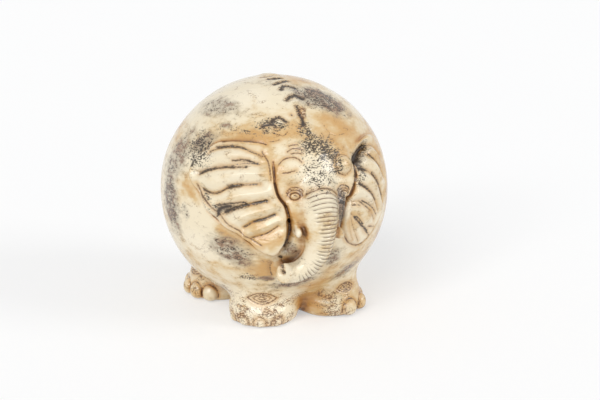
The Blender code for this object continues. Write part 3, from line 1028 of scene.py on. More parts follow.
@dataclass
class Foot(ClayPiece):
    """Stump foot with a flat sole, toes and a wrinkled knee.

    Attributes:
        sole: Middle of the sole from the ball's axis.
        profile: Height over the floor and radius of the stump.
        girth: Scale of that radius.
        toes: Turn of each toe as seen from the middle of the sole, in degrees.
        toe_reach: Distance of the toes from the middle of the sole.
        toe_half: Half sizes of a toe across, along and up.
        knee: Frame of the wrinkled knee.
        knee_half: Half sizes of its wrinkles.
        stopper_way: Radius kept free round the ball's axis for the stopper.
        toe_lift: Height of a toe's middle, as a share of its half size.
    """

    name: str = "foot"
    fillet: float = 8.0
    sole: Pair = (0.0, 0.0)
    profile: Path = (
        (-2.0, 22.4), (3.0, 24.4), (8.0, 25.5), (12.0, 25.0), (15.5, 23.4), (20.0, 22.0), (34.0, 19.0),
    )
    girth: float = 1.0
    toes: tuple[float, ...] = (0.0,)
    toe_reach: float = 22.0
    toe_half: Triple = (5.4, 4.8, 5.6)
    knee: Facing = Facing(0.0, 0.0)
    knee_half: Pair = (11.0, 4.6)
    stopper_way: float = 20.5
    toe_lift: float = 0.9

    def middle(self) -> Array:
        """Middle of the sole on the floor."""
        return np.array((self.sole[0], self.sole[1], FLOOR_LEVEL))

    def reach(self) -> tuple[Array, float]:
        """Middle and radius of the piece's space."""
        return self.middle() + np.array((0.0, 0.0, 15.0)), 42.0

    def distance(self, spots: Array) -> Array:
        """Signed distance from points to the piece."""
        away = spots - self.middle()
        height = away[:, 2]
        stump = np.hypot(away[:, 0], away[:, 1]) - self.girth * np.interp(height, *zip(*self.profile))
        top, toe_join, sole_edge, way_edge = 36.0, 1.6, 3.5, 3.0
        # The stump leans, so its level gap is a little more than the true distance.
        result = np.maximum(0.94 * stump, height - top)
        size = np.array(self.toe_half)
        for turn in np.radians(self.toes):
            ahead = away @ np.array((math.sin(turn), -math.cos(turn), 0.0)) - self.toe_reach
            aside = away @ np.array((math.cos(turn), math.sin(turn), 0.0))
            local = np.stack((aside, ahead, height - self.toe_lift * size[2]), axis=1)
            result = smooth_union(result, ellipsoid(local, size), toe_join)
        result = smooth_cut(result, height, sole_edge)
        return smooth_cut(result, np.hypot(spots[:, 0], spots[:, 1]) - self.stopper_way, way_edge)

    def grooves(self) -> list[Groove]:
        """Nested lenses of the wrinkled knee, and an arch over each toe."""
        count, lenses, knee_press, arch_press = 13, (1.0, 0.62, 0.27), (0.6, 0.45), (0.9, 0.5, 0.4)
        wide, high = self.knee_half
        there = np.linspace(-1.0, 1.0, count)
        across = np.concatenate((there, np.linspace(1.0, -1.0, count)[1:]))
        rise = (1.0 - across**2) * np.where(np.arange(len(across)) < count, 1.0, -1.0)
        lines = []
        for size in lenses:
            lens = np.stack((size * wide * across, size * high * rise), axis=1)
            lines.append(Groove(self.knee, lens, *knee_press))
        aside, deep, tall = self.toe_half
        size, start, end = 1.04, -20.0, 200.0
        around = np.radians(np.linspace(start, end, count))
        arch = np.stack((size * aside * np.cos(around), size * tall * np.sin(around)), axis=1)
        for turn in self.toes:
            out = direction(turn, 0.0) * (self.toe_reach + 0.5 * deep)
            spot = self.middle() + out + np.array((0.0, 0.0, self.toe_lift * tall))
            lines.append(Groove(Facing(turn, 0.0, spot=tuple(spot)), arch, *arch_press))
        return lines


@dataclass(frozen=True)
class StainPatch:
    """Place where the dark stain was left on under the glaze.

    Attributes:
        turn: Turn of its middle.
        lift: Lift of its middle.
        wide: Half size across, in millimetres.
        high: Half size up, in millimetres.
        roll: Tilt in degrees.
        strength: Share of the patch that stays dark.
    """

    turn: float
    lift: float
    wide: float
    high: float
    roll: float = 0.0
    strength: float = 1.0

    def spread(self, spots: Array) -> tuple[Array, Array]:
        """Points in half sizes of the patch, and which of them are on the ball's other side."""
        place = Place(self.turn, self.lift, roll=self.roll)
        flat = place.flat(spots) / np.array((self.wide, self.high))
        return flat, spots @ direction(self.turn, self.lift) < 0.0

    def cover(self, spots: Array) -> Array:
        """Stain left at points: up to the strength inside, 0 at the edge, down to -1 outside."""
        flat, behind = self.spread(spots)
        depth = np.where(behind, -1.0, 1.0 - np.linalg.norm(flat, axis=1))
        return np.where(depth < 0.0, np.maximum(depth, -1.0), self.strength * np.minimum(2.0 * depth, 1.0))

    def fade(self, spots: Array) -> Array:
        """Strength at points, fading softly from the middle outwards."""
        flat, behind = self.spread(spots)
        return np.where(behind, 0.0, self.strength * np.exp(-np.einsum("ij,ij->i", flat, flat)))


def stains(*rows: Sequence[float]) -> list[StainPatch]:
    """Patches from rows of turn, lift, half size across and up, roll and strength."""
    return [StainPatch(*row) for row in rows]


@dataclass
class Figure:
    """Whole animal as one field of distances.

    Attributes:
        shell: The hollow ball.
        pieces: Lumps of clay on the ball, in the order in which they are joined.
        trunk: The one among the pieces that carries wrinkles.
        smudges_and_shade: Soft grey and brown patches of stain; a few beside and under the trunk are painted
            shade.
        laces: Patches of black specks; the one in the gap beside the trunk adds to the painted shade there.
        mottles: Patches of brown blots.
        washes_and_sheens: Places where the glaze is thick and tan, or thin and cream where the strength is
            below zero;
            some of the cream places are painted highlights and a painted whitish reflection of the surround.
        strokes: Lines pressed into the ball itself.
    """

    shell: Shell
    pieces: list[ClayPiece]
    trunk: Trunk
    smudges_and_shade: list[StainPatch]
    laces: list[StainPatch]
    mottles: list[StainPatch]
    washes_and_sheens: list[StainPatch]
    strokes: list[Groove]

    def __post_init__(self) -> None:
        """Gather the pressed lines of all pieces and of the ball."""
        self.lines: list[Groove] = [line for piece in self.pieces for line in piece.grooves()] + self.strokes

    @staticmethod
    def near(spots: Array, reach: tuple[Array, float], margin: float) -> Array:
        """Numbers of the points within reach of a piece or a line, and a margin."""
        middle, radius = reach
        away = spots - middle
        return np.flatnonzero(np.einsum("ij,ij->i", away, away) < (radius + margin) ** 2)

    def measure(self, spots: Array) -> tuple[Array, Array]:
        """Signed distance to the animal, and the number of the piece at hand, for points.

        Args:
            spots: Points in rows.

        Returns:
            Distances, and owners counted from 1, with 0 for the ball.
        """
        gap = self.shell.distance(spots)
        owner = np.zeros(len(spots), np.int16)
        for number, piece in enumerate(self.pieces, start=1):
            margin = 2.0 * piece.fillet + 4.0
            rows = self.near(spots, piece.reach(), margin)
            if not rows.size:
                continue
            own = piece.distance(spots[rows])
            owner[rows] = np.where(own < gap[rows], number, owner[rows])
            gap[rows] = smooth_union(gap[rows], own, piece.fillet)
        for line in self.lines:
            rows = self.near(spots, line.reach(), 0.0)
            if rows.size:
                gap[rows] += line.depth * np.exp(-((line.gap(spots[rows]) / line.width) ** 2))
        cut_edge, floor_edge = 1.6, 0.6
        gap = smooth_cut(gap, self.shell.cuts(spots), cut_edge)
        return smooth_cut(gap, spots[:, 2] - FLOOR_LEVEL, floor_edge), owner

    def distance(self, spots: Array) -> Array:
        """Signed distance to the animal for points, worked through in batches."""
        return np.concatenate([self.measure(batch)[0] for batch in batches(spots)])

    def line_gaps(self, spots: Array) -> tuple[Array, Array, Array]:
        """Distances from points to the pressed lines.

        Args:
            spots: Points in rows.

        Returns:
            Distance to the nearest blackened line in half widths of its black, which is stain and in a few
            deep gaps painted shade, to the nearest brown line in millimetres, and to any of them in
            millimetres, each up to its limit.
        """
        stain_limit, line_limit = 4.0, 9.0
        soot_and_shade = np.full(len(spots), stain_limit)
        fold = np.full(len(spots), stain_limit)
        near = np.full(len(spots), line_limit)
        for line in self.lines:
            rows = self.near(spots, line.reach(), 0.0)
            if not rows.size:
                continue
            gap = line.gap(spots[rows])
            near[rows] = np.minimum(near[rows], gap)
            if line.soot_and_shade > 0.0:
                soot_and_shade[rows] = np.minimum(soot_and_shade[rows], gap / line.soot_and_shade)
            else:
                fold[rows] = np.minimum(fold[rows], gap)
        return soot_and_shade, fold, near

    @staticmethod
    def cover(patches: list[StainPatch], spots: Array) -> Array:
        """Strongest cover of some patches at points, from -1 to 1."""
        best = np.full(len(spots), -1.0)
        for patch in patches:
            best = np.maximum(best, patch.cover(spots))
        return best

    def wash(self, spots: Array) -> Array:
        """How much thicker the glaze is at points, from -1 to 1; below zero it is thinner and paler, partly
        as painted highlight.
        """
        total = np.zeros(len(spots))
        for patch in self.washes_and_sheens:
            total += patch.fade(spots)
        return total.clip(-1.0, 1.0)


@dataclass
class Skin:
    """Fine mesh drawn over a figure.

    Attributes:
        figure: Field of distances to follow.
        cell: Size of a mesh cell, in millimetres.
        block: Number of cells along one side of a sampled block.
        low: Lowest corner of the space that holds the figure.
        high: Highest corner of that space.
    """

    figure: Figure
    cell: float = FINE_CELL
    block: int = 6
    low: Triple = (-93.0, -106.0, FLOOR_LEVEL - 3.0)
    high: Triple = (93.0, 97.0, 92.0)

    def sample(self) -> tuple[Array, Array]:
        """Distances on a grid, measured closely only near the skin.

        Returns:
            Lowest corner of the grid, and the distances.
        """
        low = np.array(self.low)
        size = self.cell * self.block
        counts = np.ceil((np.array(self.high) - low) / size).astype(int)
        index = np.stack(np.meshgrid(*[np.arange(n) for n in counts], indexing="ij"), axis=-1).reshape(-1, 3)
        middles = low + (index + 0.5) * size - 0.5 * self.cell
        coarse = self.figure.distance(middles)
        grid = np.repeat(coarse.reshape(counts).astype(np.float32), self.block, axis=0)
        grid = np.repeat(np.repeat(grid, self.block, axis=1), self.block, axis=2)
        close = index[np.abs(coarse) < 1.25 * size]
        steps = np.stack(np.meshgrid(*[np.arange(self.block)] * 3, indexing="ij"), axis=-1).reshape(-1, 3)
        for batch in batches(close, len(steps)):
            cells = (batch[:, None, :] * self.block + steps[None]).reshape(-1, 3)
            values, _ = self.figure.measure(low + cells * self.cell)
            grid[cells[:, 0], cells[:, 1], cells[:, 2]] = values
        return low, grid

    def draw(self) -> tuple[Array, Array]:
        """Points and four-sided faces where the field changes sign.

        Returns:
            Points in millimetres, and the numbers of the corners of each face.
        """
        low, grid = self.sample()
        inside = grid < 0.0
        shape = np.array(grid.shape)
        faces, edge_cells, edge_spots = [], [], []
        for axis in range(3):
            ahead = np.take(inside, range(1, shape[axis]), axis)
            behind = np.take(inside, range(0, shape[axis] - 1), axis)
            start = np.argwhere(ahead != behind)
            b, c = (axis + 1) % 3, (axis + 2) % 3
            keep = (start[:, b] > 0) & (start[:, c] > 0)
            start = start[keep]
            stop = start.copy()
            stop[:, axis] += 1
            first = grid[tuple(start.T)]
            second = grid[tuple(stop.T)]
            spot = start.astype(float)
            spot[:, axis] += first / (first - second)
            corners = []
            for db, dc in ((0, 0), (-1, 0), (-1, -1), (0, -1)):
                cell = start.copy()
                cell[:, b] += db
                cell[:, c] += dc
                corners.append(np.ravel_multi_index(tuple(cell.T), tuple(shape)))
            quad = np.stack(corners, axis=1)
            faces.append(np.where((first < 0.0)[:, None], quad[:, ::-1], quad)[:, ::-1])
            edge_cells.append(quad.ravel())
            edge_spots.append(np.repeat(spot, 4, axis=0))
        cells = np.concatenate(edge_cells)
        spots = np.concatenate(edge_spots)
        names, numbers = np.unique(cells, return_inverse=True)
        weight = np.bincount(numbers, minlength=len(names))
        points = np.stack([np.bincount(numbers, spots[:, k], len(names)) / weight for k in range(3)], axis=1)
        quads = np.searchsorted(names, np.concatenate(faces))
        return low + points * self.cell, quads

    def slope(self, spots: Array, step: float) -> Array:
        """Slope of the field at points, by differences.

        Args:
            spots: Points in rows.
            step: Distance to each side over which the difference is taken.

        Returns:
            One vector for each point.
        """
        columns = []
        for axis in range(3):
            shift = np.zeros(3)
            shift[axis] = step
            columns.append(self.figure.distance(spots + shift) - self.figure.distance(spots - shift))
        return np.stack(columns, axis=1) / (2.0 * step)

    def settle(self, spots: Array) -> tuple[Array, Array]:
        """Move points onto the skin.

        Args:
            spots: Points close to the skin.

        Returns:
            Points on the skin, and the outward unit vector at each.
        """
        settle_step, normal_step, steepness, limit = 0.35, 0.3, 0.2, 0.8 * self.cell
        slope = self.slope(spots, settle_step)
        away = self.figure.distance(spots)[:, None] * slope
        away = away / np.maximum((slope**2).sum(1), steepness)[:, None]
        spots = spots - np.clip(away, -limit, limit)
        normal = self.slope(spots, normal_step)
        return spots, normal / np.maximum(np.linalg.norm(normal, axis=1, keepdims=True), TINY)

    def recess(self, spots: Array, normal: Array) -> Array:
        """How far points lie in a hollow.

        Args:
            spots: Points on the skin, one row each.
            normal: Outward unit vector at each.

        Returns:
            0 on open skin, towards 1 in a deep crease, and below zero on an edge.
        """
        reaches, lowest = (1.6, 4.5), -0.4
        total = np.zeros(len(spots))
        for reach in reaches:
            open_share = self.figure.distance(spots + normal * reach) / reach
            total += np.clip(1.0 - open_share, lowest, 1.0) / len(reaches)
        return total


@dataclass(frozen=True)
class GlazeLayer:
    """Colour laid over the layers under it where a sum of values passes a level.

    Attributes:
        colour: The colour.
        source: Name of the first value of the sum.
        extras: Weight and name of each further value.
        low: Level of the sum at which the colour starts.
        high: Level at which it is full.
        top: Share of the colour where it is full.
    """

    colour: str
    source: str
    extras: tuple[tuple[float, str], ...]
    low: float
    high: float
    top: float = 1.0


@dataclass(frozen=True)
class GlazedStoneware:
    """Cream lead glaze, brushed thick over clay that was rubbed with dark stain and wiped.

    The eye sees a glossy, slightly wavy coat, cream on high places and tan where it pooled beside lines and
    in hollows, with painted shade deepening the hollows, creases and rib flanks; dark brown to black in the
    pressed lines, with painted shade in the deepest gaps; soft grey smudges with brown cores where the stain
    was not wiped off, a few of them painted shade; a lace of black specks where it was dabbed on; and painted
    highlights in some thin cream places.

    Attributes:
        name: Name of the material.
        cream: Colour of the glaze on open skin.
        layers: Colours laid over it, the lowest first.
        noises: Name, size of a feature in millimetres, detail and roughness of each noise.
        attributes: Names of the values that the skin's points carry.
        grain: Scale of the noises along X, Y and Z.
        relief: Strength of the coat's waves, and their height in metres.
        ior: Index of refraction of the glass.
        roughness: Roughness of the coat.
        sheen: How far the roughness goes down and up from that.
    """

    name: str = "brushed_lead_glazed_stoneware"
    cream: str = "#E4D7BB"
    layers: tuple[GlazeLayer, ...] = (
        # Near white where the glaze is thin; in several places this paints highlights and the whitish
        # reflection of the surround.
        GlazeLayer("#EADFC7", "wash", ((-0.8, "field"), (-0.5, "pool")), -0.75, -1.5, 0.8),
        # The tan layers also follow the hollows: glaze pooled there, and painted shade.
        GlazeLayer(
            "#D3BA8E", "field", ((0.5, "pool"), (0.3, "wash"), (0.3, "smear"), (0.4, "recess")), 0.78, 1.1,
        ),
        GlazeLayer(
            "#C49759", "field", ((0.6, "pool"), (0.3, "wash"), (0.3, "smear"), (0.4, "recess")),
            1.0, 1.34, 0.9,
        ),
        # Tan beside every pressed line: glaze pooled there, and painted shade on the lower flanks of the
        # ribs.
        GlazeLayer("#C49759", "line_gap", ((3.5, "pool"), (2.5, "smear")), 6.5, 2.9, 0.58),
        # Amber in hollows and dark brown in deep creases: partly glaze and stain pooled there, partly painted
        # shade.
        GlazeLayer("#A77037", "recess", ((0.5, "smear"),), 0.36, 0.85, 0.7),
        GlazeLayer("#563724", "recess", ((0.5, "smear"),), 0.66, 1.05, 0.85),
        GlazeLayer("#7E5B38", "hair", ((-0.25, "pool"),), -0.125, -0.145, 0.6),
        # Grey, brown and black smudges: stain left unwiped, and painted shade in the few patches beside and
        # under the trunk.
        GlazeLayer("#988C79", "smudge", ((1.0, "pool"), (1.2, "smear")), 0.95, 1.75, 0.65),
        GlazeLayer("#875F44", "smudge", ((1.8, "pool"), (1.0, "smear")), 1.85, 2.2, 0.65),
        GlazeLayer("#3F3328", "smudge", ((2.0, "smear"), (2.2, "speck")), 2.75, 2.93, 0.88),
        GlazeLayer("#928672", "lace", ((2.2, "speck"), (1.8, "smear")), 2.15, 2.6, 0.5),
        GlazeLayer("#30261D", "lace", ((2.2, "speck"), (1.8, "smear")), 2.46, 2.64, 0.9),
        GlazeLayer("#B68348", "mottle", ((1.6, "pool"), (0.8, "smear")), 1.62, 1.9, 0.45),
        GlazeLayer("#644126", "hair", ((-0.14, "mottle"), (-0.2, "pool")), -0.112, -0.136, 0.8),
        GlazeLayer("#5A3B27", "fold_gap", ((1.0, "speck"), (0.8, "smear")), 1.6, 1.02, 0.85),
        # Dark brown and black in the blackened lines: stain, and painted shade in the deep gaps, the left
        # ear's hollow, the left eye and the nostrils.
        GlazeLayer("#563724", "soot_gap", ((1.8, "speck"), (1.4, "smear")), 3.0, 1.6, 0.6),
        GlazeLayer("#2B2521", "soot_gap", ((1.8, "speck"), (1.4, "smear")), 2.35, 1.75, 0.9),
        GlazeLayer("#614026", "ripple", ((0.6, "pool"), (0.4, "smear")), 1.1, 1.5, 0.85),
    )
    noises: tuple[tuple[str, float, float, float], ...] = (
        ("field", 34.0, 2.0, 0.5), ("pool", 9.0, 4.0, 0.55), ("smear", 4.0, 5.0, 0.62),
        ("speck", 1.2, 1.0, 0.5), ("vein", 2.9, 3.0, 0.5),
    )
    attributes: tuple[str, ...] = (
        "recess", "soot_gap", "fold_gap", "line_gap", "smudge", "lace", "mottle", "wash",
        "wrinkle", "wrinkle_show",
    )
    grain: Triple = (1.0, 1.0, 1.7)
    relief: Pair = (0.8, 0.0008)
    ior: float = 1.53
    roughness: float = 0.13
    sheen: Pair = (-0.06, 0.08)

    def build(self) -> bpy.types.Material:
        """Make the material.

        Returns:
            Material that reads the figure's own point values.
        """
        material = bare_material(self.name)
        add = partial(add_node, material.node_tree)
        times = {"operation": "MULTIPLY"}
        gain = {"operation": "MULTIPLY_ADD"}
        smooth = {"interpolation_type": "SMOOTHSTEP"}
        place = add("TexCoord").outputs["Object"]
        # Glaze and stain were brushed and wiped sideways, so their grain is longer across than it is high.
        grained = {"Vector": place, "Scale": self.grain}
        wiped = add("Mapping", {}, grained).outputs[0]
        values = {}
        for key in self.attributes:
            values[key] = add("Attribute", {"attribute_name": key}).outputs["Fac"]
        # Each noise is as coarse as its feature: brushed fields, pools, smears, veins and fine specks.
        for key, size, detail, rough in self.noises:
            inputs = {"Vector": wiped, "Scale": 1.0 / (size * MM), "Detail": detail, "Roughness": rough}
            values[key] = add("TexNoise", {}, inputs).outputs["Fac"]
        # Thin winding lines lie where the vein noise crosses its middle.
        middle = {0: values["vein"], 1: 0.5}
        level = add("Math", {"operation": "SUBTRACT"}, middle).outputs[0]
        values["hair"] = add("Math", {"operation": "ABSOLUTE"}, {0: level}).outputs[0]
        # The trunk's wrinkles are a wave along their count, shown where they are not smoothed away.
        turned = add("Math", times, {0: values["wrinkle"], 1: math.tau}).outputs[0]
        wave = add("Math", {"operation": "COSINE"}, {0: turned}).outputs[0]
        rippled = {0: wave, 1: values["wrinkle_show"]}
        values["ripple"] = add("Math", times, rippled).outputs[0]
        colour = linear(self.cream)
        for layer in self.layers:
            level = values[layer.source]
            for weight, key in layer.extras:
                added = {0: values[key], 1: weight, 2: level}
                level = add("Math", gain, added).outputs[0]
            span = {"Value": level, "From Min": layer.low, "From Max": layer.high, "To Max": layer.top}
            shown = add("MapRange", smooth, span).outputs[0]
            coats = {"Factor": shown, 6: colour, 7: linear(layer.colour)}
            colour = add("Mix", {"data_type": "RGBA"}, coats).outputs[2]
        height = values["pool"]
        for weight, key in ((-0.6, "ripple"), (0.3, "smear")):
            added = {0: values[key], 1: weight, 2: height}
            height = add("Math", gain, added).outputs[0]
        strength, waves = self.relief
        waved = {"Strength": strength, "Distance": waves, "Height": height}
        relief = add("Bump", {}, waved)
        least, most = (self.roughness + change for change in self.sheen)
        sheen = {"Value": values["smear"], "To Min": least, "To Max": most}
        gloss = add("MapRange", {}, sheen)
        finish = {"Base Color": colour, "Roughness": gloss.outputs[0], "IOR": self.ior}
        shader = add("BsdfPrincipled", {}, {**finish, "Normal": relief.outputs[0]})
        add("OutputMaterial", {}, {"Surface": shader.outputs[0]})
        return material


@dataclass
class ClayBody:
    """All the fired clay: the figure's mesh, cut into its named pieces.

    Attributes:
        figure: Field of distances to draw.
        cell: Size of a mesh cell, in millimetres.
    """

    figure: Figure
    cell: float = FINE_CELL

    def build(self, glaze: bpy.types.Material) -> list[bpy.types.Object]:
        """Draw the skin and cut it into pieces.

        Args:
            glaze: Finish of the outside.

        Returns:
            One object for each piece.
        """
        slot_end, margin, rise, ridge_height = 0.4, 0.6, 4.0, 0.35
        shell = self.figure.shell
        skin = Skin(self.figure, self.cell)
        points, quads = skin.draw()
        LOG.info("skin of %d points and %d faces", len(points), len(quads))
        points, normals = skin.settle(points)
        soot_and_shade, fold, near = self.figure.line_gaps(points)
        values = {
            "recess": skin.recess(points, normals),
            "soot_gap": soot_and_shade,
            "fold_gap": fold,
            "line_gap": near,
            "smudge": self.figure.cover(self.figure.smudges_and_shade, points),
            "lace": self.figure.cover(self.figure.laces, points),
            "mottle": self.figure.cover(self.figure.mottles, points),
            "wash": self.figure.wash(points),
        }
        count, show = self.figure.trunk.wrinkles(points)
        values["wrinkle"], values["wrinkle_show"] = count, show
        middles = points[quads].mean(axis=1)
        owner = np.concatenate([self.figure.measure(batch)[1] for batch in batches(middles)])
        depth = np.linalg.norm(middles, axis=1) - BALL_RADIUS
        # The field is full inside, so the slot and the hole are pockets, whose closed ends are left out here.
        hidden = (owner == 0) & (depth < slot_end - shell.wall) & (middles[:, 2] > 0.0)
        plug = np.hypot(middles[:, 0], middles[:, 1]) < shell.hole_radius - margin
        hidden |= plug & (middles[:, 2] > shell.belly_flat + rise) & (middles[:, 2] < 0.0)
        ridge = (owner == 0) & (shell.ridge.swelling(middles) > ridge_height)
        groups = {piece.name: owner == number for number, piece in enumerate(self.figure.pieces, start=1)}
        groups["ridge"] = ridge
        groups["shell_upper"] = (owner == 0) & ~ridge & ~hidden & (middles[:, 2] >= 0.0)
        groups["shell_lower"] = (owner == 0) & ~ridge & ~hidden & (middles[:, 2] < 0.0)
        made = []
        for name, chosen in groups.items():
            mesh = self.cut_piece(name, points, normals, quads[chosen], values)
            made.append(set_piece(name + "_clay", mesh, glaze, Body.BANK, name))
        return made

    def line(self, raw: bpy.types.Material) -> list[bpy.types.Object]:
        """Line both half shells.

        Args:
            raw: Finish of the inside.

        Returns:
            One object for each half.
        """
        points, quads = self.figure.shell.lining()
        upper = points[quads].mean(axis=1)[:, 2] >= 0.0
        made = []
        for name, chosen in (("shell_upper", upper), ("shell_lower", ~upper)):
            used, corners = np.unique(quads[chosen], return_inverse=True)
            mesh = clay_mesh(name + "_inside", points[used], corners.reshape(-1, 4))
            made.append(set_piece(name + "_lining", mesh, raw, Body.BANK, name))
        return made

    @staticmethod
    def cut_piece(
        name: str, points: Array, normals: Array, quads: Array, values: dict[str, Array]
    ) -> bpy.types.Mesh:
        """Make the mesh of one piece from some faces of the skin.

        Args:
            name: Name of the piece.
            points: Points of the whole skin, in millimetres.
            normals: Outward unit vector at each point.
            quads: Corners of the faces that belong to the piece.
            values: Named numbers at each point.

        Returns:
            The mesh, with the numbers on its points.
        """
        used, corners = np.unique(quads, return_inverse=True)
        mesh = clay_mesh(name + "_skin", points[used], corners.reshape(quads.shape))
        for key, column in values.items():
            numbers = mesh.attributes.new(key, "FLOAT", "POINT").data
            numbers.foreach_set("value", column[used].astype(np.float32))
        mesh.normals_split_custom_set_from_vertices(normals[used].tolist())
        return mesh


@dataclass(frozen=True)
class CloudedFinish:
    """Dull stuff of two clouded colours with a fine grain.

    Attributes:
        name: Name of the material.
        base: Colour of the stuff.
        cloud: Colour of its clouds.
        fleck: Colour of its largest grains, or None.
        cloud_size: Size of a cloud, in millimetres.
        grain_size: Size of a grain, in millimetres.
        relief: Strength of the grain, and its height in metres.
        dull: Roughness of the base and of the clouds.
        ior: Index of refraction.
    """

    name: str
    base: str
    cloud: str
    fleck: Optional[str]
    cloud_size: float
    grain_size: float
    relief: Pair
    dull: Pair
    ior: float

    def build(self) -> bpy.types.Material:
        """Make the material.

        Returns:
            The material.
        """
        material = bare_material(self.name)
        add = partial(add_node, material.node_tree)
        place = add("TexCoord").outputs["Object"]
        noises = []
        for size, detail in ((self.cloud_size, 4.0), (self.grain_size, 2.0)):
            inputs = {"Vector": place, "Scale": 1.0 / (size * MM), "Detail": detail}
            noises.append(add("TexNoise", {}, inputs).outputs["Fac"])
        cloud, grain = noises
        clouded = {"Factor": cloud, 6: linear(self.base), 7: linear(self.cloud)}
        colour = add("Mix", {"data_type": "RGBA"}, clouded).outputs[2]
        if self.fleck:
            largest = add("MapRange", {}, {"Value": grain, "From Min": 0.62, "From Max": 0.7})
            flecked = {"Factor": largest.outputs[0], 6: colour, 7: linear(self.fleck)}
            colour = add("Mix", {"data_type": "RGBA"}, flecked).outputs[2]
        strength, rise = self.relief
        grained = {"Strength": strength, "Distance": rise, "Height": grain}
        relief = add("Bump", {}, grained).outputs[0]
        least, most = self.dull
        dull = add("MapRange", {}, {"Value": cloud, "To Min": least, "To Max": most}).outputs[0]
        finish = {"Base Color": colour, "Roughness": dull, "IOR": self.ior, "Normal": relief}
        shader = add("BsdfPrincipled", {}, finish)
        add("OutputMaterial", {}, {"Surface": shader.outputs[0]})
        return material


# Bisque stoneware, slip-cast and never glazed: matt buff, clouded, with dark grains of grog.
RAW_STONEWARE = CloudedFinish(
    "slip_cast_raw_stoneware", "#C9A97F", "#AE8A5F", "#6F5237", 14.0, 1.2, (0.4, 0.0003), (0.88, 0.88), 1.5,
)
# Black natural rubber, compression moulded: dull black, with a faint grey bloom and a fine mould grain.
STOPPER_RUBBER = CloudedFinish(
    "moulded_black_rubber", "#1E1D1C", "#3A3835", None, 6.0, 0.6, (0.3, 0.0002), (0.5, 0.75), 1.52,
)


@dataclass
class Stopper:
    """Rubber plug under the belly: turned, with a lip, two sealing beads, a hollow top and a ridged pull tab.

    Attributes:
        level: Height of the belly's flat, from the ball's middle.
        profile: Radius and height over that flat of each corner, and the rounding of the corner.
        sides: Number of points round the plug.
        tab_half: Half length and half thickness of the tab.
        tab_levels: Height over the flat of each level of the tab, and how far its outline draws in there.
        ridge: Height and spacing of the ridges on the tab.
    """

    level: float = BELLY_FLAT
    profile: tuple[Triple, ...] = (
        (0.0, -2.5, 0.0), (10.0, -2.5, 1.0), (11.0, -2.7, 0.6), (18.5, -2.7, 1.0), (18.5, -0.3, 0.9),
        (14.6, -0.3, 0.4), (14.6, 2.2, 0.2), (14.9, 2.6, 0.3), (14.6, 3.0, 0.2), (14.6, 5.2, 0.2),
        (14.9, 5.6, 0.3), (14.6, 6.0, 0.2), (14.6, 8.4, 0.8), (13.4, 10.0, 0.8), (10.5, 10.0, 0.8),
        (10.5, 2.0, 1.5), (0.0, 2.0, 0.0),
    )
    sides: int = 96
    tab_half: Pair = (7.5, 1.7)
    tab_levels: Path = (
        (-1.9, -0.3), (-2.7, -0.1), (-3.2, 0.0), (-4.6, 0.0), (-5.1, 0.15), (-5.4, 0.5), (-5.5, 1.0),
    )
    ridge: Pair = (0.22, 2.1)

    def outline(self) -> Array:
        """Rows of radius and height along the profile, with its corners rounded."""
        corners = np.array(self.profile)
        rows = [corners[:1, :2]]
        for before, here, after in zip(corners[:-2], corners[1:-1], corners[2:]):
            back, ahead = (before - here)[:2], (after - here)[:2]
            start = here[:2] + back * min(0.5, here[2] / np.linalg.norm(back))
            end = here[:2] + ahead * min(0.5, here[2] / np.linalg.norm(ahead))
            part = np.linspace(0.0, 1.0, 5)[:, None]
            rows.append((1 - part) ** 2 * start + 2 * part * (1 - part) * here[:2] + part**2 * end)
        return np.vstack((*rows, corners[-1:, :2]))

    def plug(self) -> tuple[Array, Array]:
        """Points and faces of the turned plug."""
        outline = self.outline()
        turn = np.linspace(0.0, math.tau, self.sides, endpoint=False)
        reach = np.maximum(outline[:, 0], 0.02)
        height = np.outer(outline[:, 1] + self.level, np.ones(self.sides))
        points = np.stack((np.outer(reach, np.cos(turn)), np.outer(reach, np.sin(turn)), height), axis=-1)
        return points.reshape(-1, 3), self.rows(len(outline), self.sides)

    def tab(self) -> tuple[Array, Array]:
        """Points and faces of the pull tab, whose flanks are ridged for the fingers."""
        half, thick = self.tab_half
        turn = np.linspace(0.0, math.tau, self.sides, endpoint=False)
        tall, pitch = self.ridge
        levels = []
        for height, inset in (*self.tab_levels, (self.tab_levels[-1][0], thick - 0.05)):
            across = np.sign(np.cos(turn)) * np.abs(np.cos(turn)) ** 0.5 * (half - inset)
            deep = np.sign(np.sin(turn)) * np.abs(np.sin(turn)) ** 0.5 * (thick - inset)
            deep = deep + tall * np.sin(turn) * np.cos(math.tau * across / pitch) * (inset <= 0.0)
            levels.append(np.stack((across, deep, np.full(self.sides, height + self.level)), axis=1))
        return np.vstack(levels[::-1]), self.rows(len(levels), self.sides)

    @staticmethod
    def rows(count: int, sides: int) -> Array:
        """Faces between rings of points that follow each other upwards."""
        numbers = np.arange(count * sides).reshape(count, sides)
        after = np.roll(numbers, -1, axis=1)
        return np.stack((numbers[:-1], after[:-1], after[1:], numbers[1:]), axis=-1).reshape(-1, 4)

    def build(self, material: bpy.types.Material) -> bpy.types.Object:
        """Make the stopper.

        Args:
            material: Finish of the rubber.

        Returns:
            The stopper as one piece.
        """
        points, faces = self.plug()
        tab_points, tab_faces = self.tab()
        all_faces = np.vstack((faces, tab_faces + len(points)))
        mesh = clay_mesh("stopper_moulding", np.vstack((points, tab_points)), all_faces)
        return set_piece("stopper_rubber", mesh, material, Body.STOPPER, "stopper")


@dataclass(frozen=True)
class Lamp:
    """Far soft lamp that shines on the ball.

    Attributes:
        name: Name of the lamp.
        turn: Turn round the ball from its front, in degrees.
        lift: Height over the ball's middle, in degrees.
        spread: Width of the lamp as seen from the ball, in degrees.
        power: Light that falls on a facing surface, in watts for a square metre.
    """

    name: str
    turn: float
    lift: float
    spread: float
    power: float

    def build(self) -> bpy.types.Object:
        """Set the lamp.

        Returns:
            The lamp, a metre from the ball's middle.
        """
        data = bpy.data.lights.new(self.name, "SUN")
        data.angle = math.radians(self.spread)
        data.energy = self.power
        back = direction(self.turn, self.lift)
        return set_aimed(self.name, data, level_axes(back), BALL_CENTRE * MM + back)


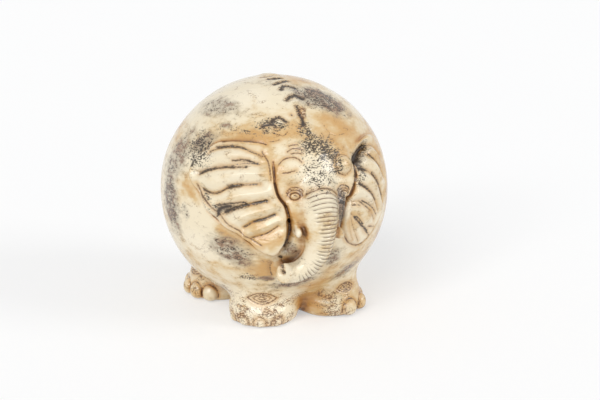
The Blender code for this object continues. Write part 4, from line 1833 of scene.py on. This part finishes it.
@dataclass
class Studio:
    """White sweep, soft lamps and the camera of the photograph.

    Attributes:
        turn: Turn of the camera round the ball, in degrees.
        lift: Height of the camera over the ball's middle, in degrees.
        lens: Focal length, in millimetres.
        sensor: Width of the camera's sensor, in millimetres.
        picture: Size of the picture, in picture elements.
        ball_spot: Where the ball's middle falls in the picture.
        ball_size: Radius of the ball in the picture.
        floor_half: Half width of the paper, in metres.
        floor_drop: Gap between the soles and the paper, in metres.
        floor_glow: Share of the paper's look that comes from light behind it.
        paper: The two tones of the paper's clouds.
        paper_cloud: Size of such a cloud, in metres.
        tent_level: Strength of the white tent as a light.
        lamps: The lamps.
    """

    turn: float = -22.0
    lift: float = 17.0
    lens: float = 85.0
    sensor: float = 36.0
    picture: tuple[int, int] = (600, 400)
    ball_spot: Pair = (274.5, 187.5)
    ball_size: float = 113.5
    floor_half: float = 6.0
    floor_drop: float = 0.0002
    floor_glow: float = 0.44
    paper: tuple[str, str] = ("#F9FAFB", "#FCFCFC")
    paper_cloud: float = 0.4
    tent_level: float = 0.56
    lamps: tuple[Lamp, ...] = (
        Lamp("left_softbox", -46.0, 38.0, 34.0, 1.36),
        Lamp("left_window", -60.0, 24.0, 10.0, 0.3),
        Lamp("right_softbox", 52.0, 25.0, 26.0, 0.98),
    )

    def camera(self) -> bpy.types.Object:
        """Place the camera so that the ball has its size and place in the picture.

        Returns:
            The camera.
        """
        focal = self.lens / self.sensor * self.picture[0]
        away = math.hypot(focal * BALL_RADIUS / self.ball_size, BALL_RADIUS)
        axes = level_axes(direction(self.turn, self.lift))
        across = self.ball_spot[0] - 0.5 * self.picture[0]
        down = self.ball_spot[1] - 0.5 * self.picture[1]
        sight = np.array((across / focal, -down / focal, -1.0))
        sight /= np.linalg.norm(sight)
        data = bpy.data.cameras.new("photo_camera")
        data.lens = self.lens
        data.sensor_width = self.sensor
        data.clip_start = 0.05
        obj = set_aimed("photo_camera", data, axes, (BALL_CENTRE - away * (axes @ sight)) * MM)
        bpy.context.scene.camera = obj
        return obj

    @staticmethod
    def seen(tree: bpy.types.NodeTree) -> bpy.types.NodeSocket:
        """Tell what the camera sees, straight or in a reflection or through glass.

        Args:
            tree: Node tree that gets the nodes.

        Returns:
            Output that is 1 for such rays and 0 for all others.
        """
        add = partial(add_node, tree)
        rays = add("LightPath").outputs
        most = {"operation": "MAXIMUM"}
        direct = {0: rays["Is Camera Ray"], 1: rays["Is Glossy Ray"]}
        mirrored = add("Math", most, direct)
        whole = {0: mirrored.outputs[0], 1: rays["Is Transmission Ray"]}
        return add("Math", most, whole).outputs[0]

    def floor(self) -> bpy.types.Object:
        """Lay the white paper sweep that the bank stands on.

        Returns:
            The sheet.
        """
        half, level = self.floor_half, -self.floor_drop
        corners = [(-half, -half, level), (half, -half, level), (half, half, level), (-half, half, level)]
        mesh = bpy.data.meshes.new("paper_sweep")
        mesh.from_pydata(corners, [], [(0, 1, 2, 3)])
        material = bare_material("white_paper")
        tree = material.node_tree
        add = partial(add_node, tree)
        place = add("TexCoord").outputs["Object"]
        clouded = {"Vector": place, "Scale": 1.0 / self.paper_cloud, "Detail": 2.0}
        cloud = add("TexNoise", {}, clouded)
        first, second = (linear(code) for code in self.paper)
        tones = {"Factor": cloud.outputs["Fac"], 6: first, 7: second}
        tone = add("Mix", {"data_type": "RGBA"}, tones)
        dull = {"Base Color": tone.outputs[2], "Roughness": 0.9, "Specular IOR Level": 0.1}
        shader = add("BsdfPrincipled", {}, dull)
        # To the camera the paper is lit from behind as well, which keeps it white and its shadows faint.
        lit = {"Value": self.seen(tree), "To Max": self.floor_glow}
        share = add("MapRange", {}, lit)
        glow = add("Emission", {}, {"Color": linear("#FFFFFF"), "Strength": 1.0})
        looks = {0: share.outputs[0], 1: shader.outputs[0], 2: glow.outputs[0]}
        sheet = add("MixShader", {}, looks)
        # From underneath the paper is clear, so that the stopper can be seen there.
        under = add("NewGeometry").outputs["Backfacing"]
        clear = add("BsdfTransparent").outputs[0]
        paper = add("MixShader", {}, {0: under, 1: sheet.outputs[0], 2: clear})
        add("OutputMaterial", {}, {"Surface": paper.outputs[0]})
        mesh.materials.append(material)
        obj = bpy.data.objects.new("paper_sweep", mesh)
        bpy.context.scene.collection.objects.link(obj)
        return obj

    def surround(self) -> None:
        """White tent round the table: it lights softly and looks white to the camera and in reflections."""
        world = bpy.data.worlds.new("white_tent")
        world.use_nodes = True
        tree = world.node_tree
        tree.nodes.clear()
        add = partial(add_node, tree)
        levels = {"Value": self.seen(tree), "To Min": self.tent_level, "To Max": 1.0}
        level = add("MapRange", {}, levels)
        white = {"Color": linear("#FFFFFF"), "Strength": level.outputs[0]}
        light = add("Background", {}, white)
        add("OutputWorld", {}, {"Surface": light.outputs[0]})
        bpy.context.scene.world = world

    def build(self) -> None:
        """Set up the whole studio."""
        self.camera()
        self.floor()
        self.surround()
        for lamp in self.lamps:
            lamp.build()
        bpy.context.scene.view_settings.view_transform = "Standard"


def make_ears() -> tuple[Ear, Ear]:
    """Both ears; the left one is folded lower, so the two are not mirror images.

    Returns:
        Left and right ear.
    """
    left = Ear(
        name="ear_left",
        hand=Hand.LEFT,
        middle=(35.0, 8.0),
        root=(25.0, 31.0),
        outline=(
            (23.0, 28.0), (23.4, 22.1), (22.8, 15.7), (20.9, 12.2), (18.0, 8.2), (14.8, 4.1), (13.7, -0.6),
            (14.2, -7.1), (15.8, -11.0), (19.4, -14.8), (27.0, -18.2), (33.9, -16.4), (38.0, -13.2),
            (42.6, -9.1),
            (47.6, -3.6), (52.2, 3.0), (55.6, 10.0), (57.6, 18.0), (58.0, 25.4), (55.4, 30.4), (49.4, 33.0),
            (42.0, 33.4), (35.0, 32.6), (28.1, 30.9),
        ),
        rib_lines=(
            ((27.5, 26.0), (32.7, 28.4), (39.3, 29.4), (47.0, 27.0), (52.0, 22.0)),
            ((36.0, 25.4), (42.0, 21.5), (46.5, 17.1), (51.0, 10.4)),
            ((26.0, 20.8), (31.4, 18.6), (35.5, 15.7), (41.1, 9.9), (44.8, 2.4), (46.4, -1.0)),
            ((24.2, 13.6), (27.4, 11.6), (32.2, 7.9), (37.0, 2.5), (40.4, -4.0)),
            ((18.6, 5.6), (23.0, 5.4), (27.0, 2.5), (32.4, -1.3), (37.0, -7.6)),
            ((18.0, 0.4), (22.5, -4.6), (27.0, -9.0), (30.5, -12.2)),
        ),
        marks=(
            # Painted shadow: the wide black of the next mark fills the hollow under the ear's folded top
            # front.
            (2.6, ((25.6, 22.6), (26.4, 24.6), (28.4, 26.2), (31.6, 27.6))),
            (1.2, ((31.6, 27.6), (36.0, 29.0))),
            (0.9, ((38.0, 25.0), (42.0, 21.5), (46.5, 17.1))),
            (1.5, ((26.0, 20.4), (31.4, 18.4))),
            (1.9, ((35.5, 15.7), (39.0, 12.0), (41.6, 8.6))),
            (1.3, ((41.6, 8.6), (44.8, 2.4))),
            (1.7, ((24.4, 13.4), (27.4, 11.4), (30.4, 9.2))),
            (1.1, ((30.4, 9.2), (33.6, 6.6), (37.0, 2.5))),
            (0.5, ((23.0, 5.4), (27.0, 2.5), (32.4, -1.3))),
            (1.2, ((20.6, -1.9), (23.0, -4.5), (25.7, -7.2), (31.6, -11.9))),
            (0.7, ((22.1, -2.2), (24.6, -4.6), (27.0, -7.4))),
            (0.5, ((18.1, 4.3), (21.0, 3.9), (23.8, 3.1))),
            (0.6, ((24.9, 5.2), (29.9, 2.3), (34.8, -1.2), (38.1, -5.2))),
            (0.6, ((31.4, -9.5), (34.4, -10.2), (37.0, -11.2))),
            (0.7, ((31.1, -12.3), (33.0, -14.0), (34.0, -15.6))),
            (0.3, ((17.9, -1.9), (20.5, -8.6), (25.1, -15.9))),
            (0.3, ((16.4, -3.0), (18.0, -9.0), (20.8, -14.0))),
        ),
        tuck=(24.0, 46.0),
        height=2.0,
        rib=(3.2, 4.4),
        cuts=(
            (0.8, 0.7, 0.0, ((15.4, -11.0), (19.2, -15.6), (27.0, -19.0), (34.2, -17.2))),
            (0.9, 0.8, 0.9, ((34.2, -17.4), (38.4, -14.2), (43.0, -10.0), (48.2, -4.4))),
            # Painted shadow: the wide black of the next cut fills the hollow under the ear's folded top
            # front.
            (3.2, 4.6, 5.2, ((26.4, 24.4), (28.5, 25.3), (31.8, 26.9), (35.3, 28.2), (38.6, 28.9))),
            (0.8, 0.8, 0.5, ((24.4, 24.0), (23.4, 21.0), (22.8, 17.6), (21.6, 14.0))),
            (1.0, 1.4, 0.0, ((21.6, 14.0), (19.2, 10.6), (16.6, 7.2))),
            # The black in the next deep cut, between ear and cheek, is painted shade.
            (2.0, 3.6, 0.9, ((16.0, 7.6), (13.9, 4.2), (12.6, -0.6), (13.0, -6.0), (14.2, -10.6))),
        ),
    )
    right = Ear(
        name="ear_right",
        hand=Hand.RIGHT,
        outline=(
            (25.4, 36.6), (22.6, 32.4), (21.9, 26.4), (21.3, 19.2), (19.6, 12.9), (17.0, 9.1), (15.4, 5.2),
            (14.8, -1.4), (15.4, -7.5), (17.4, -12.5), (20.7, -15.6), (24.2, -15.2), (28.4, -13.0),
            (33.3, -9.4),
            (37.9, -5.6), (43.4, -2.9), (48.8, 0.3), (53.3, 4.0), (56.3, 7.7), (59.3, 11.5), (63.4, 15.0),
            (66.0, 18.0), (66.4, 21.5), (64.7, 26.1), (59.9, 32.1), (54.7, 35.5), (49.2, 36.9), (39.1, 37.7),
            (30.6, 37.5),
        ),
        rib_lines=(
            ((58.1, 30.2), (55.0, 32.1), (48.3, 34.0), (40.7, 34.5), (33.8, 32.9), (27.3, 31.1)),
            ((60.2, 20.1), (52.1, 23.4), (45.7, 25.0), (39.1, 26.5), (34.1, 27.2), (28.4, 27.0)),
            (
                (56.9, 13.0), (52.7, 12.0), (48.4, 12.3), (44.1, 15.1), (40.3, 16.8), (34.1, 17.4),
                (27.6, 17.9),
            ),
            ((48.1, 1.9), (43.5, 3.7), (39.7, 6.3), (33.7, 8.2), (28.3, 9.6), (23.8, 10.4)),
            ((35.3, -2.5), (30.5, 0.5), (25.3, 2.2), (20.4, 4.2)),
            ((31.4, -7.4), (24.6, -5.1), (19.2, -1.5)),
        ),
        marks=(
            (0.9, ((51.0, 36.1), (45.1, 37.4), (34.6, 37.3), (29.4, 37.6), (25.8, 37.0))),
            (1.4, ((54.0, 32.9), (48.3, 34.2), (42.0, 34.7))),
            (0.9, ((42.0, 34.7), (38.0, 34.2))),
            (0.6, ((38.0, 34.2), (33.8, 32.9), (27.3, 31.1))),
            (1.5, ((60.1, 19.7), (56.0, 21.8), (52.0, 23.2))),
            (1.2, ((52.0, 23.2), (45.6, 24.5), (34.9, 25.4))),
            (0.9, ((42.5, 27.8), (35.8, 28.5), (29.5, 27.2))),
            (0.9, ((56.9, 13.0), (52.7, 12.0), (48.4, 12.3), (44.1, 15.1))),
            (1.9, ((43.0, 15.6), (37.4, 17.0))),
            (0.6, ((37.4, 17.0), (34.1, 17.4), (29.0, 17.9))),
            (2.0, ((48.1, 1.9), (46.0, 5.6), (41.2, 7.4))),
            (2.2, ((43.5, 4.2), (39.7, 6.3), (33.7, 8.2))),
            (1.6, ((33.7, 8.2), (28.3, 9.6), (24.7, 10.4))),
            (0.8, ((47.0, 7.3), (41.2, 8.5), (34.2, 9.5))),
            (0.8, ((35.3, -2.5), (30.5, 0.5))),
            (1.4, ((30.5, 0.5), (25.3, 2.2), (20.9, 4.2))),
            (0.6, ((31.4, -7.4), (24.6, -5.1), (19.5, -1.5))),
        ),
        cuts=(
            (0.8, 0.7, 0.0, ((17.0, -13.2), (20.6, -16.4), (24.4, -16.0), (28.8, -13.7))),
            (0.6, 0.35, 0.0, (
                (59.6, 14.8), (57.2, 11.1), (50.7, 6.4), (45.5, 1.4), (38.4, -2.9), (32.4, -7.7),
                (26.7, -10.3),
            )),
            (0.7, 0.4, 0.0, ((27.7, 33.0), (24.4, 28.6), (23.1, 24.0), (22.6, 19.7))),
            (0.7, 0.7, 0.35, ((67.2, 21.6), (65.4, 26.4), (60.4, 32.7), (55.0, 36.1), (51.0, 36.8))),
            # The black along the next crease under the ear's rim is a stained line and painted shadow of the
            # rim.
            (0.9, 1.2, 0.55, (
                (28.8, -13.7), (33.8, -10.1), (38.4, -6.3), (43.8, -3.6), (49.4, -0.5), (53.9, 3.3),
                (57.0, 7.2),
                (60.0, 11.0), (64.1, 14.5), (66.8, 17.8), (67.2, 21.6),
            )),
            (0.6, 0.35, 0.0, ((21.6, 28.4), (21.1, 24.6), (20.8, 18.1))),
            (0.8, 1.0, 0.35, ((20.8, 18.1), (19.3, 12.4), (17.0, 9.3), (15.6, 7.5))),
            # The black in the next two deep cuts, between ear and cheek, is painted shade.
            (1.3, 2.4, 0.6, ((15.5, 7.4), (14.4, 3.4), (13.9, 0.0))),
            (2.2, 4.2, 1.2, ((13.9, 0.4), (13.6, -3.0), (13.7, -6.0), (14.6, -9.8), (16.4, -13.8))),
        ),
    )
    return left, right


def make_figure() -> Figure:
    """Put the animal together from its pieces.

    Returns:
        The figure with its pieces in the order of joining.
    """
    trunk = Trunk()
    tail_path = (
        (180.0, 8.0, 83.0), (180.0, 3.0, 86.6), (180.0, -8.0, 86.4), (178.0, -18.0, 86.6),
        (176.0, -24.0, 87.0),
    )
    left_lobes = (((15.6, 23.8, 86.6), (7.8, 6.8, 5.8)),)
    left_folds = (
        ((14.4, 46.0), (15.2, 43.3), (15.8, 40.7), (18.0, 39.2), (21.7, 38.5), (28.1, 38.4)),
        ((19.6, 27.4), (15.9, 28.9), (12.2, 27.7), (10.4, 24.0), (11.8, 20.4), (15.4, 18.8), (19.4, 20.6)),
    )
    tusks = {
        Hand.RIGHT: ((10.9, -3.0, 84.0), (11.0, -3.5, 88.5), (11.1, -4.0, 91.6)),
        Hand.LEFT: ((10.0, -6.0, 84.0), (9.8, -6.5, 88.0), (9.6, -7.0, 91.0)),
    }
    pieces: list[ClayPiece] = [FacePad(), *make_ears()]
    pieces.append(Brow(name="brow_left", hand=Hand.LEFT, lobes=left_lobes, folds=left_folds, soot_and_shade=0.32))
    pieces.append(Brow(name="brow_right", hand=Hand.RIGHT))
    # The left eye's wide black lines paint the shade of the hollow beside the trunk where it sits.
    pieces.append(Eye(name="eye_left", hand=Hand.LEFT, spot=(13.4, 10.6, 86.0), soot_and_shade=0.62))
    pieces.append(Eye(name="eye_right", hand=Hand.RIGHT))
    for hand, path in tusks.items():
        pieces.append(Rod(hand.named("tusk"), 1.2, Slot.GLAZE, path, (3.8, 3.6, 3.5), hand, 7))
    pieces.append(trunk)
    # Reach and half sizes of the toes, and girth of the stump: the front right foot has four small toes.
    small, large = (22.8, (4.6, 3.4, 4.6), 1.02), (23.4, (6.4, 5.4, 7.0), 1.0)
    feet = (
        (
            "foot_front_left", (31.0, -31.5), (17.0, 55.0, 95.0), large,
            Facing(18.0, 9.0, spot=(35.9, -52.3, -66.5)), (7.5, 3.6),
        ),
        (
            "foot_front_right", (-21.5, -32.5), (-87.0, -57.0, -27.0, 3.4), small,
            Facing(-24.7, 2.0, spot=(-30.3, -52.7, -66.1)), (10.8, 4.2),
        ),
        (
            "foot_rear_left", (34.0, 31.0), (43.0, 71.6, 100.2, 128.8), large,
            Facing(95.0, 4.0, spot=(56.0, 29.0, -66.5)), (10.0, 4.0),
        ),
        (
            "foot_rear_right", (-34.0, 31.0), (-37.0, -66.0, -97.0, -128.0), large,
            Facing(-95.0, 4.0, spot=(-56.0, 29.0, -66.5)), (10.0, 4.0),
        ),
    )
    for name, sole, toes, (reach, half, girth), knee, wrinkled in feet:
        pieces.append(
            Foot(
                name=name, sole=sole, girth=girth, toes=toes, toe_reach=reach, toe_half=half,
                knee=knee, knee_half=wrinkled,
            )
        )
    pieces.append(Rod("tail", 2.0, Slot.GLAZE, tail_path, (3.6, 3.2, 2.6, 4.2, 2.2), Hand.LEFT, 20))
    smudges_and_shade = stains(
        (-75, 54.5, 27, 11, 10, 0.46), (-55, 45, 6, 3, 0, 0.5), (-85, 24, 18, 27, -22, 0.54),
        (-66, 35, 14, 9, 40, 0.56), (-84, 1, 15, 29, 14, 0.72), (-70, -0.4, 5, 7, 30, 0.4),
        (-43.5, -16.5, 22, 14, -28, 0.6), (33, 60, 29, 17, -48, 0.8), (9.3, -22, 12, 10, 0, 0.55),
        # The next three patches are painted shade: in the dark stripe between the trunk and the left cheek,
        # in the hollow under the right tusk, and under the trunk's end.
        (11.2, 4, 5, 15, 0, 0.95), (-13, -14.5, 6, 9, 30, 0.5), (-26, -33.5, 9, 3.4, 0, 0.6),
        (-8, -37, 24, 8, 20, 0.62), (28, -36, 16, 10, 30, 0.55), (-44, 80, 12, 6, 0, 0.2),
        (120, 40, 26, 15, 20, 0.55), (165, 12, 17, 24, -10, 0.5), (-140, -8, 22, 15, 15, 0.55),
        (95, -14, 15, 20, 0, 0.5), (-150, 55, 20, 11, -20, 0.5),
    )
    laces = stains(
        (-23.5, 47, 14, 8, 0, 0.5), (3.6, 35, 17, 10, 0, 0.64), (8, 30, 14, 7, 0, 0.64),
        # The last patch on the next line adds black specks to the painted shade between the trunk and the
        # left cheek.
        (2, 21.5, 18, 15, 0, 0.39), (11, 24, 6, 10, 0, 0.5), (11.6, 6, 4.6, 13, 0, 0.6),
        (27, 19.5, 5, 9, 10, 0.6), (-1, 43, 6, 11, 0, 0.6), (-66, 30, 15, 19, 30, 0.57),
        (-54, 10, 5, 8, 30, 0.4), (-45, 6, 9, 5, 0, 0.4), (-46, 43.6, 20, 2.6, -4, 0.3),
        (24, 17, 5, 9, 0, 0.4), (27.5, 25, 4, 6, 30, 0.6), (-10, -34, 16, 6, 0, 0.25),
        (-17, -29, 5, 4, 0, 0.5), (-36, -33, 9, 5, 0, 0.4), (150, 34, 14, 10, 0, 0.4),
        (176.5, -21, 5, 8, 0, 0.7), (-120, 32, 14, 9, 20, 0.4),
    )
    mottles = stains(
        (1.8, 53, 3.8, 7, -14, 0.95), (-20, 40.6, 16, 5, 0, 0.2), (-29, -55, 46, 12, 0, 0.42),
        (40, -54, 36, 10, 0, 0.49), (-86, -50, 38, 12, 0, 0.5), (130, -52, 38, 14, 0, 0.34),
        (-150, -52, 30, 14, 0, 0.34),
    )
    # Below zero the glaze is thin and paler. The cream patches on the lower forehead, the right of the crown,
    # the lower right flank, the right ear's middle and the front feet also paint highlights and the whitish
    # reflection of the surround.
    washes_and_sheens = stains(
        (-38, 42.5, 26, 7, -4, 0.9), (26, 43, 17, 14, -30, 0.6), (-64.4, 8.2, 11, 3.4, -41, 1),
        (-45.6, -6.8, 12, 3.6, -37, 1), (-26, 27, 6, 14, 0, 0.8), (-76, -20, 5, 12, 20, 0.3),
        (-53, -38, 20, 10, 0, 0.3), (-8, -30, 26, 9, 0, 0.6), (-12.6, 2, 4.6, 14, 0, 1),
        (-25, -27, 7, 12, 0, 1.1), (34, -54, 26, 8, 0, -0.3), (-27, -3, 15, 11, -20, 0.75),
        (24, -34, 22, 11, 20, 0.85), (-29, -50, 26, 10, 0, -0.5), (-20.5, 20, 5, 20, 0, 0.5),
        (-54, 64, 24, 14, 20, -0.9), (-64, -18, 18, 16, 0, -0.9), (-40, 20, 18, 12, 0, -0.5),
        (-1, 20, 12, 8, 0, -0.9), (-6, -8, 7, 26, 0, -0.5), (66, 0, 26, 60, 0, 1),
        (58, -30, 10, 22, 0, 0.9), (4, -54, 14, 14, 0, 0.9), (-6, 45, 14, 9, 0, 0.7),
        (-11, -3.8, 3.8, 3.8, 0, -1.5), (-30, -58, 30, 9, 0, -0.4), (140, 30, 30, 20, 20, 0.6),
        (-130, 20, 26, 24, 0, 0.5),
    )
    # Strokes across the ridge, the russet mark under them, and the marks beside it over the right ear.
    strokes = [
        stroke(((-101.9, 83.5), (-50.3, 87.6)), 1.0, 0.3, 1.4),
        stroke(((-49.0, 83.8), (-15.8, 84.0), (15.2, 83.5)), 1.3, 0.5, 2.2),
        stroke(((-19.9, 77.2), (-3.2, 78.7), (19.4, 79.3)), 1.3, 0.6, 2.5),
        stroke(((-9.7, 71.9), (-4.3, 73.8), (2.3, 73.9), (12.7, 71.9)), 1.6, 0.7, 3.0),
        stroke(((-6.7, 63.0), (-3.0, 64.7), (2.8, 65.2), (6.4, 64.3), (10.7, 62.9)), 1.6, 0.8, 3.0),
        stroke(((-0.7, 57.5), (-1.2, 53.6), (-0.6, 48.5), (-1.3, 46.0)), 1.0, 0.5, 2.0),
        stroke(((-22.8, 49.2), (-20.3, 51.1), (-16.4, 51.5), (-12.3, 49.1)), 1.1, 0.4, 2.0),
        stroke(((-29.3, 46.5), (-25.9, 47.4), (-21.7, 47.7)), 1.0, 0.4, 1.4),
        stroke(((-20.3, 47.1), (-19.7, 46.3)), 0.8, 0.3, 1.0),
        stroke(((-7.4, 53.1), (-6.8, 52.7)), 0.7, 0.3, 0.9),
        stroke(((-21.1, 43.0), (-17.9, 42.1), (-14.8, 41.5), (-12.2, 43.6)), 0.6, 0.2, 0.5),
        stroke(((-23.5, 38.6), (-20.5, 38.8), (-17.7, 39.5)), 0.6, 0.3, 0.5),
    ]
    return Figure(Shell(), pieces, trunk, smudges_and_shade, laces, mottles, washes_and_sheens, strokes)


def main() -> None:
    """Build the clay, the stopper and the studio, and note the sizes."""
    logging.basicConfig(level=logging.INFO, format="%(name)s: %(message)s")
    Studio().build()
    clay = ClayBody(make_figure(), FINE_CELL)
    clay.build(GlazedStoneware().build())
    clay.line(RAW_STONEWARE.build())
    Stopper().build(STOPPER_RUBBER.build())


if __name__ == "__main__":
    main()
